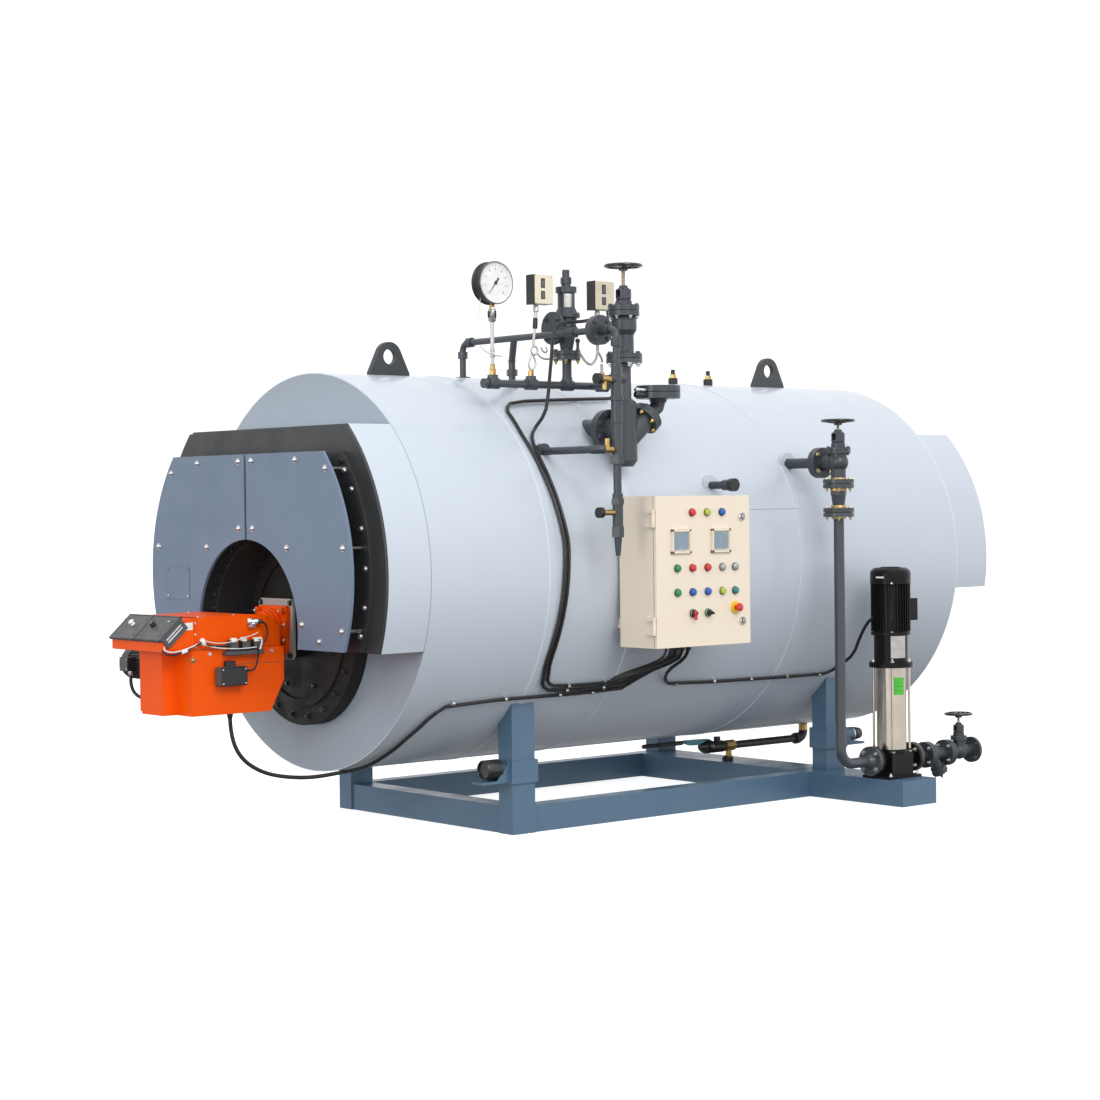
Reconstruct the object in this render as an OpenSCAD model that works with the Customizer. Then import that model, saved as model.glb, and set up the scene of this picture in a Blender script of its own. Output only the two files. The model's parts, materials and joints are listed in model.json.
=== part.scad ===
// Horizontal fire-tube steam boiler on a steel skid, with burner, control panel, feed pump and valves.
// X runs from the burner to the rear smokebox, Y to the left side, Z up, and the ground is at Z = 0.
// The origin is on the ground at the middle of the front cross beam.

/* [Shell] */
// Outer radius of the boiler cladding
shell_r = 1000; // [980:5:1020]
// Length of the cladding
shell_len = 3790; // [3760:10:3840]
// Height of the lowest line of the shell above the ground
ground_gap = 318; // [300:1:340]
// Distance from the middle of the front beam forward to the front end plate
front_overhang = 750; // [730:5:770]
// Thickness of the cladding wall
cladding_t = 25; // [15:1:40]
// Thickness of the flat end plates
end_plate_t = 20; // [10:1:30]
// Width of a raised cladding seam
seam_w = 46; // [30:2:70]
// Height of a raised cladding seam
seam_h = 3; // [2:1:5]

/* [Front smokebox] */
// Depth of the front smokebox jacket
smokebox_depth = 250; // [220:5:280]
// Height of its flat top above the shell axis
smokebox_top = 722; // [700:2:740]
// Depth of its flat bottom below the shell axis
smokebox_bottom = 361; // [350:1:370]
// Thickness of the jacket wall
smokebox_wall = 30; // [20:1:40]
// Thickness of the black flange plate
flange_plate_t = 15; // [10:1:20]
// Radius of the smokebox door plate
door_r = 900; // [880:5:920]
// Thickness of the smokebox door plate
door_t = 15; // [10:1:20]
// Height of the top edge of the door and its covers above the shell axis
door_top = 592; // [570:2:610]
// Radius of the burner arch
arch_r = 445; // [430:1:455]
// Distance of the arch centre and the furnace below the shell axis
furnace_drop = 273; // [260:1:285]
// Gap between the door plate and the cover plates
cover_standoff = 90; // [70:5:110]
// Thickness of a cover plate
cover_t = 15; // [10:1:20]
// Gap between the two cover plates
cover_gap = 18; // [10:1:30]
// Radius of the cover plates
cover_r = 895; // [880:5:900]
// Radius of a cover stud
stud_r = 9; // [7:1:12]

/* [Furnace front and burner] */
// Radius of the furnace front flange
furnace_r = 490; // [480:5:500]
// Thickness of the furnace front flange
furnace_t = 75; // [60:5:90]
// Radius of the burner boss on the furnace front
boss_r = 150; // [130:5:170]
// Length of the burner boss
boss_len = 125; // [110:5:140]
// Side of the square burner plate
plate_w = 300; // [280:5:320]
// Thickness of the square burner plate
plate_t = 15; // [10:1:20]
// Radius of the burner throat
throat_r = 78; // [74:1:82]
// Length of the burner throat
throat_len = 150; // [130:5:170]
// Width of the burner air box
burner_w = 480; // [460:5:500]
// Length of the burner air box
burner_len = 520; // [500:5:540]
// Height of the air box below the split line
air_box_h = 312; // [290:2:330]
// Height of the upper housing above the split line
housing_h = 160; // [140:2:180]
// Height of the burner split line below the furnace axis
split_drop = 70; // [60:1:80]

/* [Rear smokebox] */
// Depth of the rear smokebox jacket
rear_depth = 245; // [220:5:270]
// Height of its flat top above the shell axis
rear_top = 706; // [690:2:720]
// Depth of its flat bottom below the shell axis
rear_bottom = 181; // [170:1:190]
// Thickness of the rear cover
rear_cover_t = 15; // [10:1:20]
// Inner radius of the flue collar
flue_r = 200; // [180:5:220]
// Length of the flue collar
flue_len = 80; // [60:5:100]
// Height of the flue collar above the shell axis
flue_h = 260; // [240:5:280]

/* [Skid] */
// Height of the skid beams
beam_h = 138; // [120:1:150]
// Half of the skid width over the legs
skid_half = 750; // [740:2:760]
// Size of a leg along the boiler
leg_x = 145; // [130:1:155]
// Size of a leg across the boiler
leg_y = 110; // [100:1:120]
// Distance by which the beams sit back from the leg faces
beam_inset = 10; // [5:1:15]
// Distance from the front beam to the rear beam
rear_beam_x = 2073; // [2050:1:2100]
// Width of the rear beam that carries the pump
rear_beam_w = 272; // [260:2:290]
// Distance from the pump axis to the end of its beam
pump_margin = 196; // [180:2:210]
// Height of the lower edge of the leg sleeves
sleeve_z = 256; // [240:2:270]
// Height of the leg sleeves
sleeve_h = 114; // [100:2:120]
// Thickness of the leg sleeves
sleeve_t = 12; // [8:1:16]
// Length of the anchor tubes
anchor_len = 120; // [100:5:140]
// Radius of the anchor tubes
anchor_r = 36; // [30:1:40]
// Thickness of the gussets beside an anchor tube
gusset_t = 10; // [6:1:14]

/* [Lifting lugs] */
// Distance of the front lug behind the front beam
lug_front_x = -254; // [-270:2:-240]
// Distance of the rear lug behind the front beam
lug_rear_x = 2518; // [2500:2:2540]
// Width of a lug at its foot
lug_w = 250; // [230:5:270]
// Height of the lug eye above the shell crown
lug_eye_h = 98; // [90:1:105]
// Radius of the lug eye
lug_eye_r = 40; // [35:1:44]
// Radius of the rounded lug top
lug_top_r = 76; // [70:1:80]
// Thickness of a lug
lug_t = 30; // [20:1:40]

/* [Control panel] */
// Width of the control panel
panel_w = 650; // [620:5:680]
// Height of the control panel
panel_h = 754; // [730:2:780]
// Depth of the panel box behind its door
panel_d = 248; // [230:2:260]
// Height of the panel's lower edge
panel_z = 926; // [910:2:940]
// Distance of the panel's left edge behind the front beam
panel_x = 417; // [400:1:430]
// Gap between the panel's back and the shell's side
panel_gap = 20; // [15:1:40]
// Thickness of the panel door
panel_door_t = 17; // [15:1:20]
// Gap between the panel door and the box
panel_door_gap = 5; // [5:0.5:8]
// Radius of a panel hinge pin
hinge_pin_r = 5; // [4:0.5:6]

/* [Steam outlet] */
// Distance of the steam column behind the front beam
column_x = 527; // [515:1:540]
// Distance of the steam column inwards from the side of the shell
column_inset = 50; // [30:1:60]
// Height of the steam nozzle above the shell axis
nozzle_h = 702; // [690:1:710]
// Radius of the column pipe
column_r = 34; // [31:1:38]
// Height of the main valve's lower flange joint above the shell axis
column_joint_h = 1060; // [1045:1:1072]
// Radius of the main valve flanges
column_flange_r = 92; // [85:1:98]
// Distance from the column to the outlet flange along the boiler
outlet_dx = 231; // [225:1:240]
// Height of the outlet flange face above the shell axis
outlet_h = 927; // [922:1:937]
// Radius of the outlet flange
outlet_flange_r = 114; // [108:1:118]
// Radius of the main handwheel
main_wheel_r = 99; // [90:1:105]
// Height of the main handwheel above the shell axis
main_wheel_h = 1528; // [1518:1:1542]

/* [Instrument pipe] */
// Distance of the instrument pipe inwards from the side of the shell
manifold_inset = 300; // [290:1:310]
// Height of the instrument pipe above the shell axis
manifold_h = 931; // [922:1:942]
// Radius of the instrument pipe
manifold_r = 19; // [17:1:21]
// Radius of the pressure gauge case
gauge_r = 104; // [95:1:110]
// Height of the pressure gauge centre above the shell axis
gauge_h = 1427; // [1417:1:1437]
// Height of the pressure switch centres above the shell axis
switch_h = 1398; // [1388:1:1408]

/* [Level column] */
// Distance of the level column behind the front beam
level_x = 235; // [228:1:239]
// Distance of the level column outwards from the side of the shell
level_out = 215; // [205:1:225]
// Height of the balance pipe above the shell axis
balance_h = 1184; // [1177:1:1192]
// Height of the column's head above the shell axis
column_head_h = 982; // [972:1:992]
// Height of the column's lower end above the shell axis
column_foot_h = 72; // [62:1:82]
// Radius of the balance pipe
balance_r = 17; // [15:1:19]
// Distance of the lower shell connection behind the front beam
lower_leg_x = 105; // [95:1:115]
// Height of the lower shell connection above the shell axis
lower_leg_h = 592; // [582:1:602]

/* [Feed line] */
// Distance of the feed line in front of the pump axis
feed_ahead = 405; // [390:1:420]
// Distance of the feed line and the pump outwards from the side of the shell
feed_out = 224; // [210:1:240]
// Height of the feed nozzle above the shell axis
feed_h = 532; // [522:1:542]
// Radius of the feed pipe
feed_r = 28; // [25:1:30]
// Radius of the feed line flanges
feed_flange_r = 82; // [78:1:86]
// Radius of the feed handwheel
feed_wheel_r = 92; // [85:1:95]

/* [Feed pump] */
// Distance of the pump axis behind the front beam
pump_x = 2210; // [2200:1:2220]
// Distance from the pump axis to each port face
pump_port = 158; // [150:1:165]
// Height of the pump ports above the beam
pump_port_h = 98; // [92:1:104]
// Radius of the pump's steel sleeve
pump_r = 80; // [75:1:85]
// Height of the pump head above the beam
pump_head_h = 600; // [580:5:620]
// Radius of the motor
motor_r = 110; // [100:1:115]
// Height of the motor top above the beam
motor_top_h = 1140; // [1120:5:1160]
// Radius of the suction handwheel
suction_wheel_r = 80; // [75:1:85]

/* [Small shell nozzles] */
// Distance of the first top nozzle behind the front beam
top_nozzle_x = 1755; // [1740:1:1770]
// Distance between the two top nozzles
top_nozzle_pitch = 277; // [260:1:290]
// Distance of the side nozzle behind the front beam
side_nozzle_x = 1160; // [1150:1:1170]
// Height of the side nozzle above the shell axis
side_nozzle_h = 417; // [410:1:425]
/* [Drain line] */
// Distance from the rear end of the shell to the drain
drain_back = 246; // [230:2:260]
// Height of the drain line below the shell
drain_drop = 93; // [85:1:100]

/* [Hidden] */
$fn = 48;

shell_x0 = -front_overhang;
shell_x1 = shell_x0 + shell_len;
seat = 0.3;
axis_h = ground_gap + shell_r;
crown_z = axis_h + shell_r;
nozzle_z = axis_h + nozzle_h;
column_joint_z = axis_h + column_joint_h;
outlet_z = axis_h + outlet_h;
main_wheel_z = axis_h + main_wheel_h;
manifold_z = axis_h + manifold_h;
gauge_z = axis_h + gauge_h;
switch_z = axis_h + switch_h;
balance_z = axis_h + balance_h;
lower_leg_z = axis_h + lower_leg_h;
feed_z = axis_h + feed_h;
column_y = shell_r - column_inset;
manifold_y = shell_r - manifold_inset;
level_y = shell_r + level_out;
feed_x = pump_x - feed_ahead;
feed_y = shell_r + feed_out;
pump_reach = feed_y + pump_margin;
seam_places = [0, 570, 1770];
seam_end = 6;

jacket_x0 = shell_x0 - smokebox_depth;
flange_x0 = jacket_x0 - flange_plate_t;
door_x0 = flange_x0 - door_t;
cover_x1 = door_x0 - cover_standoff;
cover_x0 = cover_x1 - cover_t;
arch_z = axis_h - furnace_drop;
furnace_x0 = shell_x0 - furnace_t;
boss_x0 = furnace_x0 - boss_len;
plate_x0 = boss_x0 - plate_t;
throat_x0 = plate_x0 - throat_len;
split_z = arch_z - split_drop;
burner_x0 = throat_x0 + 35 - burner_len;
nose_len = 75;

rear_x1 = shell_x1 + rear_depth;
rear_face = rear_x1 + rear_cover_t;

rear_leg_x = rear_beam_x + rear_beam_w - leg_x;
pump_beam_y = -pump_reach;

panel_back = -(shell_r + panel_gap);
panel_front = panel_back - panel_d;
panel_door_y1 = panel_front - panel_door_gap;
panel_door_y0 = panel_door_y1 - panel_door_t;
knuckle_r = hinge_pin_r + 4;
hinge_x = panel_x - knuckle_r - 1;
hinge_y = (panel_door_y0 + panel_door_y1) / 2;
hinge_zs = [panel_z + 110, panel_z + panel_h - 110];
hinge_len = 90;
pin_clear = 0.05;

port_z = beam_h + pump_port_h;
joint_t = 22;
outlet_top_t = 31;
outlet_low_t = 31;
gasket_t = 3;
joint_gap = 0.05;

// Height of the shell surface at a distance y from the middle plane
function roof_z(y) = axis_h + sqrt(shell_r * shell_r - y * y);
// Distance of the shell surface from the middle plane at a height z
function side_y(z) = sqrt(shell_r * shell_r - (z - axis_h) * (z - axis_h));
// Point on a cable that lies on the shell, by angle above the horizontal on the panel side
function on_shell(x, a, r) = [x, -(shell_r + r) * cos(a), axis_h + (shell_r + r) * sin(a)];

module rod(from, to, r) {
    d = to - from;
    len = norm(d);
    translate(from) rotate([0, acos(d[2] / len), atan2(d[1], d[0])]) cylinder(r = r, h = len);
}
module facing_x(p) { translate(p) rotate([0, 90, 0]) children(); }
module facing_back_x(p) { translate(p) rotate([0, -90, 0]) children(); }
module facing_right(p) { translate(p) rotate([90, 0, 0]) children(); }
module upward(p) { translate(p) children(); }

// A quarter bend in the X-Z plane of the caller, from +X to +Z, with its corner at the origin
module bend(r, bend_r) {
    rotate([90, 0, 0]) translate([-bend_r, bend_r, 0]) rotate([0, 0, -90])
        rotate_extrude(angle = 90) translate([bend_r, 0]) circle(r);
}
module shell_clear() {
    facing_x([shell_x0 - 1, 0, axis_h]) cylinder(r = shell_r + seat, h = shell_len + 2, $fn = 180);
    for (s = seam_places) facing_x([s - seam_w / 2 - seat, 0, axis_h])
        cylinder(r = shell_r + seam_h + seat, h = seam_w + 2 * seat, $fn = 180);
}

// Profile of the shell between two heights, in a plane with its first axis to the right side
module chord_disc(r, top, bottom) {
    intersection() {
        circle(r, $fn = 180);
        translate([-r - 1, -bottom]) square([2 * r + 2, top + bottom]);
    }
}
module across(x0, t) {
    translate([x0, 0, axis_h]) rotate([90, 0, 90]) linear_extrude(t) children();
}
module arch_hole(r) { translate([0, -furnace_drop]) circle(r, $fn = 120); }

module shell_cladding() {
    color("lightsteelblue") facing_x([shell_x0, 0, axis_h]) difference() {
        union() {
            cylinder(r = shell_r, h = shell_len, $fn = 180);
            for (s = seam_places) translate([0, 0, s - shell_x0 - seam_w / 2])
                cylinder(r = shell_r + seam_h, h = seam_w, $fn = 180);
        }
        translate([0, 0, end_plate_t])
            cylinder(r = shell_r - cladding_t, h = shell_len - 2 * end_plate_t, $fn = 180);
        translate([0, 0, -1]) cylinder(r = shell_r - seam_end, h = end_plate_t + 1, $fn = 180);
        translate([0, 0, shell_len - end_plate_t])
            cylinder(r = shell_r - seam_end, h = end_plate_t + 1, $fn = 180);
    }
}
module end_disc() { cylinder(r = shell_r - seam_end - seat, h = end_plate_t, $fn = 180); }
module front_end_plate() { color("slategray") facing_x([shell_x0, 0, axis_h]) end_disc(); }
module rear_end_plate() {
    color("lightsteelblue") facing_x([shell_x1 - end_plate_t, 0, axis_h]) end_disc();
}

module front_smokebox() {
    w = smokebox_wall;
    color("#3a3b3d") difference() {
        across(jacket_x0, smokebox_depth) difference() {
            chord_disc(shell_r, smokebox_top, smokebox_bottom);
            difference() {
                chord_disc(shell_r - w, smokebox_top - w, smokebox_bottom - w);
                arch_hole(arch_r + w);
            }
            arch_hole(arch_r);
        }
        facing_x([furnace_x0 - seat, 0, arch_z]) cylinder(r = furnace_r + seat, h = furnace_t + 1,
            $fn = 120);
    }
}
module smokebox_flange() {
    color("#2b2c2e") across(flange_x0, flange_plate_t) difference() {
        chord_disc(shell_r, smokebox_top - 10, smokebox_bottom - 8);
        arch_hole(arch_r);
    }
}
module smokebox_door() {
    color("#1e1f21") across(door_x0, door_t) difference() {
        chord_disc(door_r, door_top, smokebox_bottom - 8);
        arch_hole(arch_r);
    }
}
module cover_half(side) {
    across(cover_x0, cover_t) intersection() {
        difference() {
            chord_disc(cover_r, door_top, smokebox_bottom - 10);
            arch_hole(arch_r);
        }
        translate([side > 0 ? cover_gap / 2 : -cover_r - 1, -cover_r - 1])
            square([cover_r + 1 - cover_gap / 2, 2 * cover_r + 2]);
    }
}
module cover_plate_left() { color("slategray") cover_half(1); }
module cover_plate_right() { color("slategray") cover_half(-1); }

// Stud places on one half, as distance from the middle and height above the shell axis
stud_places = [[58, 557], [440, 555], [692, 510], [62, 227], [360, 133], [827, 134], [482, -232],
    [626, -308], [811, -254]];
module cover_studs() {
    color("silver") for (side = [-1, 1], s = stud_places)
        facing_x([cover_x1, side * s[0], axis_h + s[1]]) cylinder(r = stud_r, h = cover_standoff);
}

module furnace_front() {
    color("#242220") {
        facing_x([furnace_x0, 0, arch_z]) cylinder(r = furnace_r, h = furnace_t, $fn = 120);
        facing_x([furnace_x0 - 12, 0, arch_z]) difference() {
            cylinder(r = furnace_r - 90, h = 12, $fn = 120);
            translate([0, 0, -1]) cylinder(r = furnace_r - 130, h = 14, $fn = 120);
        }
        facing_x([boss_x0, 0, arch_z]) cylinder(r = boss_r, h = boss_len, $fn = 96);
    }
}
module burner_plate() {
    color("gainsboro") translate([plate_x0, 0, arch_z]) rotate([90, 0, 90]) linear_extrude(plate_t)
        difference() {
            square(plate_w, center = true);
            for (sx = [-1, 1], sy = [-1, 1]) translate([sx * plate_w / 2, sy * plate_w / 2])
                rotate(45) square(24, center = true);
        }
}
module burner_head() {
    flange_t = 22;
    color("orangered") {
        hull() for (y = [-1, 1]) {
            facing_back_x([plate_x0, y * 105, arch_z + 92]) cylinder(r = 24, h = flange_t, $fn = 32);
            facing_back_x([plate_x0, y * 92, arch_z - 98]) cylinder(r = 24, h = flange_t, $fn = 32);
        }
        for (y = [-1, 1]) facing_back_x([plate_x0 - flange_t + 1, y * 105, arch_z + 92])
            cylinder(r = 17, h = 26);
        facing_back_x([plate_x0, 0, arch_z]) cylinder(r = throat_r, h = throat_len, $fn = 72);
        facing_back_x([plate_x0 - flange_t + 1, 0, arch_z])
            cylinder(r1 = throat_r + 24, r2 = throat_r + 1, h = 72, $fn = 72);
        for (k = [0:2]) facing_back_x([plate_x0 - flange_t - 12 - k * 20, 0, arch_z])
            cylinder(r = throat_r + 24 - 6 * k, h = 9, $fn = 72);
    }
}

module throat_clear() {
    facing_back_x([plate_x0, 0, arch_z]) cylinder(r = throat_r + seat, h = throat_len + seat, $fn = 72);
}

// Plan outline of the burner air box, from its nose to its back
air_plan = [[-nose_len, 95], [-nose_len, -95], [0, -105], [0, -burner_w / 2],
    [burner_len, -burner_w / 2], [burner_len, burner_w / 2], [0, burner_w / 2], [0, 105]];
module burner_air_box() {
    slant = 80;
    color("orangered") difference() {
        union() {
            translate([burner_x0, 0, split_z - air_box_h]) linear_extrude(air_box_h - 4)
                polygon(air_plan);
            translate([burner_x0, 0, split_z - 5]) linear_extrude(5) offset(delta = -5)
                polygon(air_plan);
        }
        translate([burner_x0 + burner_len, burner_w, split_z - air_box_h]) rotate([90, 0, 0])
            linear_extrude(2 * burner_w) polygon([[-slant, -1], [1, -1], [1, 150]]);
        throat_clear();
    }
}
// Side outline of the upper housing, with the sloped lid seat at the front
lid_len = 105;
lid_rise = 95;
house_front = -nose_len - 80;
house_side = [[house_front, 0], [house_front, housing_h - lid_rise - 14],
    [house_front + lid_len, housing_h - 14], [60, housing_h - 4], [burner_len - 190, housing_h],
    [burner_len - 60, housing_h - 14], [burner_len, 90], [burner_len, 0]];
// The housing narrows towards the throat over this length and by this angle
taper_len = 260;
taper_angle = 14;
module burner_housing() {
    color("orangered") difference() {
        translate([burner_x0, (burner_w - 20) / 2, split_z]) rotate([90, 0, 0])
            linear_extrude(burner_w - 20) polygon(house_side);
        for (side = [-1, 1])
            translate([burner_x0 + burner_len - taper_len, side * (burner_w / 2 + 30), split_z - 1])
                rotate([0, 0, side * -taper_angle]) translate([0, side > 0 ? 0 : -200, 0])
                    cube([burner_len, 200, housing_h + 4]);
        throat_clear();
    }
}
module burner_lids() {
    a = atan2(lid_rise, lid_len);
    len = norm([lid_len, lid_rise]) + 16;
    w = (burner_w - 20) / 2;
    color("#3c3d40") for (side = [0, 1])
        translate([burner_x0 + house_front, -w + side * w, split_z + housing_h - lid_rise - 14])
            rotate([0, -a, 0]) translate([-8, side * 3, 0.2]) linear_extrude(14) polygon([[0, 0],
                [len, 0], [len, w - 3], [0, w - 3]]);
}
module burner_fan_motor() {
    y0 = burner_w / 2;
    mz = split_z - 95;
    color("#1c1d1f") translate([burner_x0 + 150, y0, mz]) {
        facing_right([0, 18, 0]) cylinder(r = 92, h = 18 - seat, $fn = 64);
        facing_right([0, 260, 0]) cylinder(r = 76, h = 244, $fn = 64);
        facing_right([0, 306, 0]) cylinder(r = 82, h = 60, $fn = 64);
        facing_right([0, 320, 0]) cylinder(r1 = 64, r2 = 82, h = 14.5, $fn = 64);
        translate([-118, 170, -34]) cube([60, 84, 68]);
    }
}
module burner_fittings() {
    y0 = -burner_w / 2;
    color("#2c2d2f") {
        translate([burner_x0 + 125, y0 - 62, split_z - 175]) cube([150, 62, 92]);
        translate([burner_x0 + 175, y0 - 34, split_z - 83]) cube([50, 34, 26]);
        translate([burner_x0 + 170, y0 - 46, split_z - 30]) cube([210, 46, 24]);
        for (k = [0:2]) translate([burner_x0 + 190 + k * 66, y0 - 44, split_z - 6]) cube([44, 44, 56]);
    }
}

module rear_smokebox() {
    w = smokebox_wall;
    color("lightsteelblue") across(shell_x1, rear_depth) difference() {
        chord_disc(shell_r, rear_top, rear_bottom);
        chord_disc(shell_r - w, rear_top - w, rear_bottom - w);
    }
}
module rear_cover() {
    color("lightsteelblue") across(rear_x1, rear_cover_t) difference() {
        chord_disc(shell_r, rear_top, rear_bottom);
        translate([0, flue_h]) circle(flue_r, $fn = 120);
    }
}
module flue_collar() {
    color("#33373b") facing_x([rear_face, 0, axis_h + flue_h]) difference() {
        union() {
            cylinder(r = flue_r + 6, h = flue_len, $fn = 120);
            cylinder(r = flue_r + 42, h = 8, $fn = 120);
            translate([0, 0, flue_len - 8]) cylinder(r = flue_r + 42, h = 8, $fn = 120);
        }
        translate([0, 0, -1]) cylinder(r = flue_r, h = flue_len + 2, $fn = 120);
    }
}

// Side outline of a lug, with its foot below the crown and its sides tangent to the round top
lug_corner = [lug_w / 2, 14 - lug_eye_h];
lug_turn = atan2(lug_corner[1], lug_corner[0]) + acos(lug_top_r / norm(lug_corner));
lug_touch = [lug_top_r * cos(lug_turn), lug_eye_h + lug_top_r * sin(lug_turn)];
module lug_outline() {
    difference() {
        union() {
            translate([0, lug_eye_h]) circle(lug_top_r, $fn = 72);
            polygon([[-lug_w / 2, -30], [lug_w / 2, -30], [lug_w / 2, 14], lug_touch,
                [-lug_touch[0], lug_touch[1]], [-lug_w / 2, 14]]);
        }
        translate([0, lug_eye_h]) circle(lug_eye_r, $fn = 72);
    }
}
module lifting_lugs() {
    color("dimgray") for (x = [lug_front_x, lug_rear_x]) difference() {
        translate([x, lug_t / 2, crown_z]) rotate([90, 0, 0]) linear_extrude(lug_t) lug_outline();
        shell_clear();
    }
}

module skid_front_beam() {
    color("#3d5a70") translate([-leg_x / 2 + beam_inset, -(skid_half - leg_y), 0])
        cube([leg_x - 2 * beam_inset, 2 * (skid_half - leg_y), beam_h]);
}
module skid_side_rails() {
    color("#3d5a70") for (side = [-1, 1])
        translate([leg_x / 2, side > 0 ? skid_half - leg_y + beam_inset : -skid_half + beam_inset, 0])
            cube([rear_beam_x - leg_x / 2, leg_y - 2 * beam_inset, beam_h]);
}
module skid_rear_beam() {
    color("#3d5a70") translate([rear_beam_x, pump_beam_y, 0])
        cube([rear_beam_w, pump_reach + skid_half, beam_h]);
}
module leg_pair(x, z0) {
    for (side = [-1, 1]) difference() {
        translate([x, side > 0 ? skid_half - leg_y : -skid_half, z0]) cube([leg_x, leg_y, axis_h - z0]);
        shell_clear();
    }
}
module front_legs() { color("#3d5a70") leg_pair(-leg_x / 2, 0); }
module rear_legs() { color("#3d5a70") leg_pair(rear_leg_x, beam_h); }
module sleeve(x, side, out) {
    y0 = side > 0 ? skid_half - leg_y : -skid_half;
    difference() {
        translate([x - sleeve_t, y0 - sleeve_t, sleeve_z])
            cube([leg_x + 2 * sleeve_t, leg_y + 2 * sleeve_t, sleeve_h]);
        translate([x, y0, sleeve_z - 1]) cube([leg_x, leg_y, sleeve_h + 2]);
    }
    sx = out > 0 ? x + leg_x + sleeve_t : x - sleeve_t;
    translate([sx, y0 + leg_y / 2, sleeve_z]) rotate([0, 0, out > 0 ? 0 : 180]) {
        facing_x([0, 0, sleeve_h / 2 + 6]) cylinder(r = anchor_r, h = anchor_len);
        translate([0, -anchor_r - 6, 6]) cube([anchor_len + 50, 2 * anchor_r + 12, sleeve_t]);
        for (side = [-1, 1]) translate([0, side * (anchor_r + 6) - (side > 0 ? gusset_t : 0), 6])
            rotate([90, 0, 0]) translate([0, 0, -gusset_t])
                linear_extrude(gusset_t) polygon([[0, 0], [0.7 * anchor_len, 0], [0, sleeve_h - 16]]);
    }
}
module leg_sleeves() {
    color("#3d5a70") for (side = [-1, 1]) {
        sleeve(-leg_x / 2, side, -1);
        sleeve(rear_leg_x, side, 1);
    }
}

module panel_box() {
    rail = 50;
    color("wheat") translate([panel_x, panel_front, panel_z]) cube([panel_w, panel_d, panel_h]);
    color("gainsboro") for (z = [panel_z + 90, panel_z + panel_h - 90 - rail]) difference() {
        translate([panel_x + 40, panel_back, z])
            cube([panel_w - 80, shell_r + panel_gap - side_y(z + rail) + 10, rail]);
        shell_clear();
    }
    color("silver") for (z = hinge_zs) {
        upward([hinge_x, hinge_y, z - hinge_len / 2]) cylinder(r = hinge_pin_r, h = hinge_len);
        for (e = [-1, 1]) translate([0, 0, z + e * hinge_len / 2]) {
            upward([hinge_x, hinge_y, e > 0 ? -20 : 0]) cylinder(r = knuckle_r, h = 20);
            translate([hinge_x - 3, hinge_y, e > 0 ? -20 : 0])
                cube([6, panel_front + 40 - hinge_y, 20]);
            translate([hinge_x + 2, panel_front + 10, e > 0 ? -20 : 0])
                cube([panel_x - hinge_x - 2, 30, 20]);
        }
    }
}
module panel_door() {
    k = hinge_len - 40 - 1;
    color("wheat") translate([panel_x, panel_door_y0, panel_z]) cube([panel_w, panel_door_t, panel_h]);
    color("silver") for (z = hinge_zs) difference() {
        union() {
            upward([hinge_x, hinge_y, z - k / 2]) cylinder(r = knuckle_r, h = k);
            translate([hinge_x, hinge_y - 3, z - k / 2]) cube([panel_x - hinge_x + 1, 6, k]);
        }
        upward([hinge_x, hinge_y, z - k]) cylinder(r = hinge_pin_r + pin_clear, h = 2 * k);
    }
}
// Columns of the door's controls from its left edge, and rows from its lower edge
control_cols = [140, 244, 348, 451, 541];
lamp_rows = [671, 394, 273];
module control(x, z, r, h) {
    facing_right([panel_x + x, panel_door_y0, panel_z + z]) cylinder(r = r, h = h, $fn = 32);
}
module panel_controls() {
    color("gray") {
        for (c = [1:3]) control(control_cols[c], lamp_rows[0], 20, 18);
        for (r = [1, 2], c = control_cols) control(c, lamp_rows[r], 20, 18);
        for (c = [165, 440]) translate([panel_x + c - 66, panel_door_y0 - 14, panel_z + 466])
            cube([132, 14, 122]);
        control(244, 167, 22, 34);
        control(348, 167, 22, 34);
        control(541, 187, 32, 8);
        control(541, 187, 21, 44);
        for (z = [117, 646]) control(592, z, 17, 12);
    }
}

module steam_nozzle() {
    z = nozzle_z;
    flange_y = -(column_y - 125);
    color("#34383c") difference() {
        union() {
            facing_right([column_x, -side_y(z) + 60, z]) cylinder(r = 60, h = -flange_y - side_y(z) + 60);
            facing_right([column_x, flange_y + joint_t, z]) cylinder(r = 105, h = joint_t);
        }
        shell_clear();
    }
}
module outlet_body() {
    z = nozzle_z;
    flange_y = -(column_y - 125);
    leg = 190;
    color("#34383c") {
        facing_right([column_x, flange_y, z]) cylinder(r = 105, h = joint_t);
        facing_right([column_x, flange_y - joint_t, z]) cylinder(r = 62, h = 103);
        upward([column_x, -column_y, z - 158]) cylinder(r = 62, h = 290);
        upward([column_x, -column_y, z - 188]) cylinder(r1 = 40, r2 = 62, h = 30);
        upward([column_x, -column_y, z + 132]) cylinder(r1 = 62, r2 = column_r + 6, h = 20);
        translate([column_x, -column_y, z - 60]) rotate([0, 50, 0]) cylinder(r = 58, h = leg);
        translate([column_x, -column_y, z - 60]) rotate([0, 50, 0]) translate([0, 0, leg - 26])
            cylinder(r = 84, h = 26);
    }
}
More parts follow.
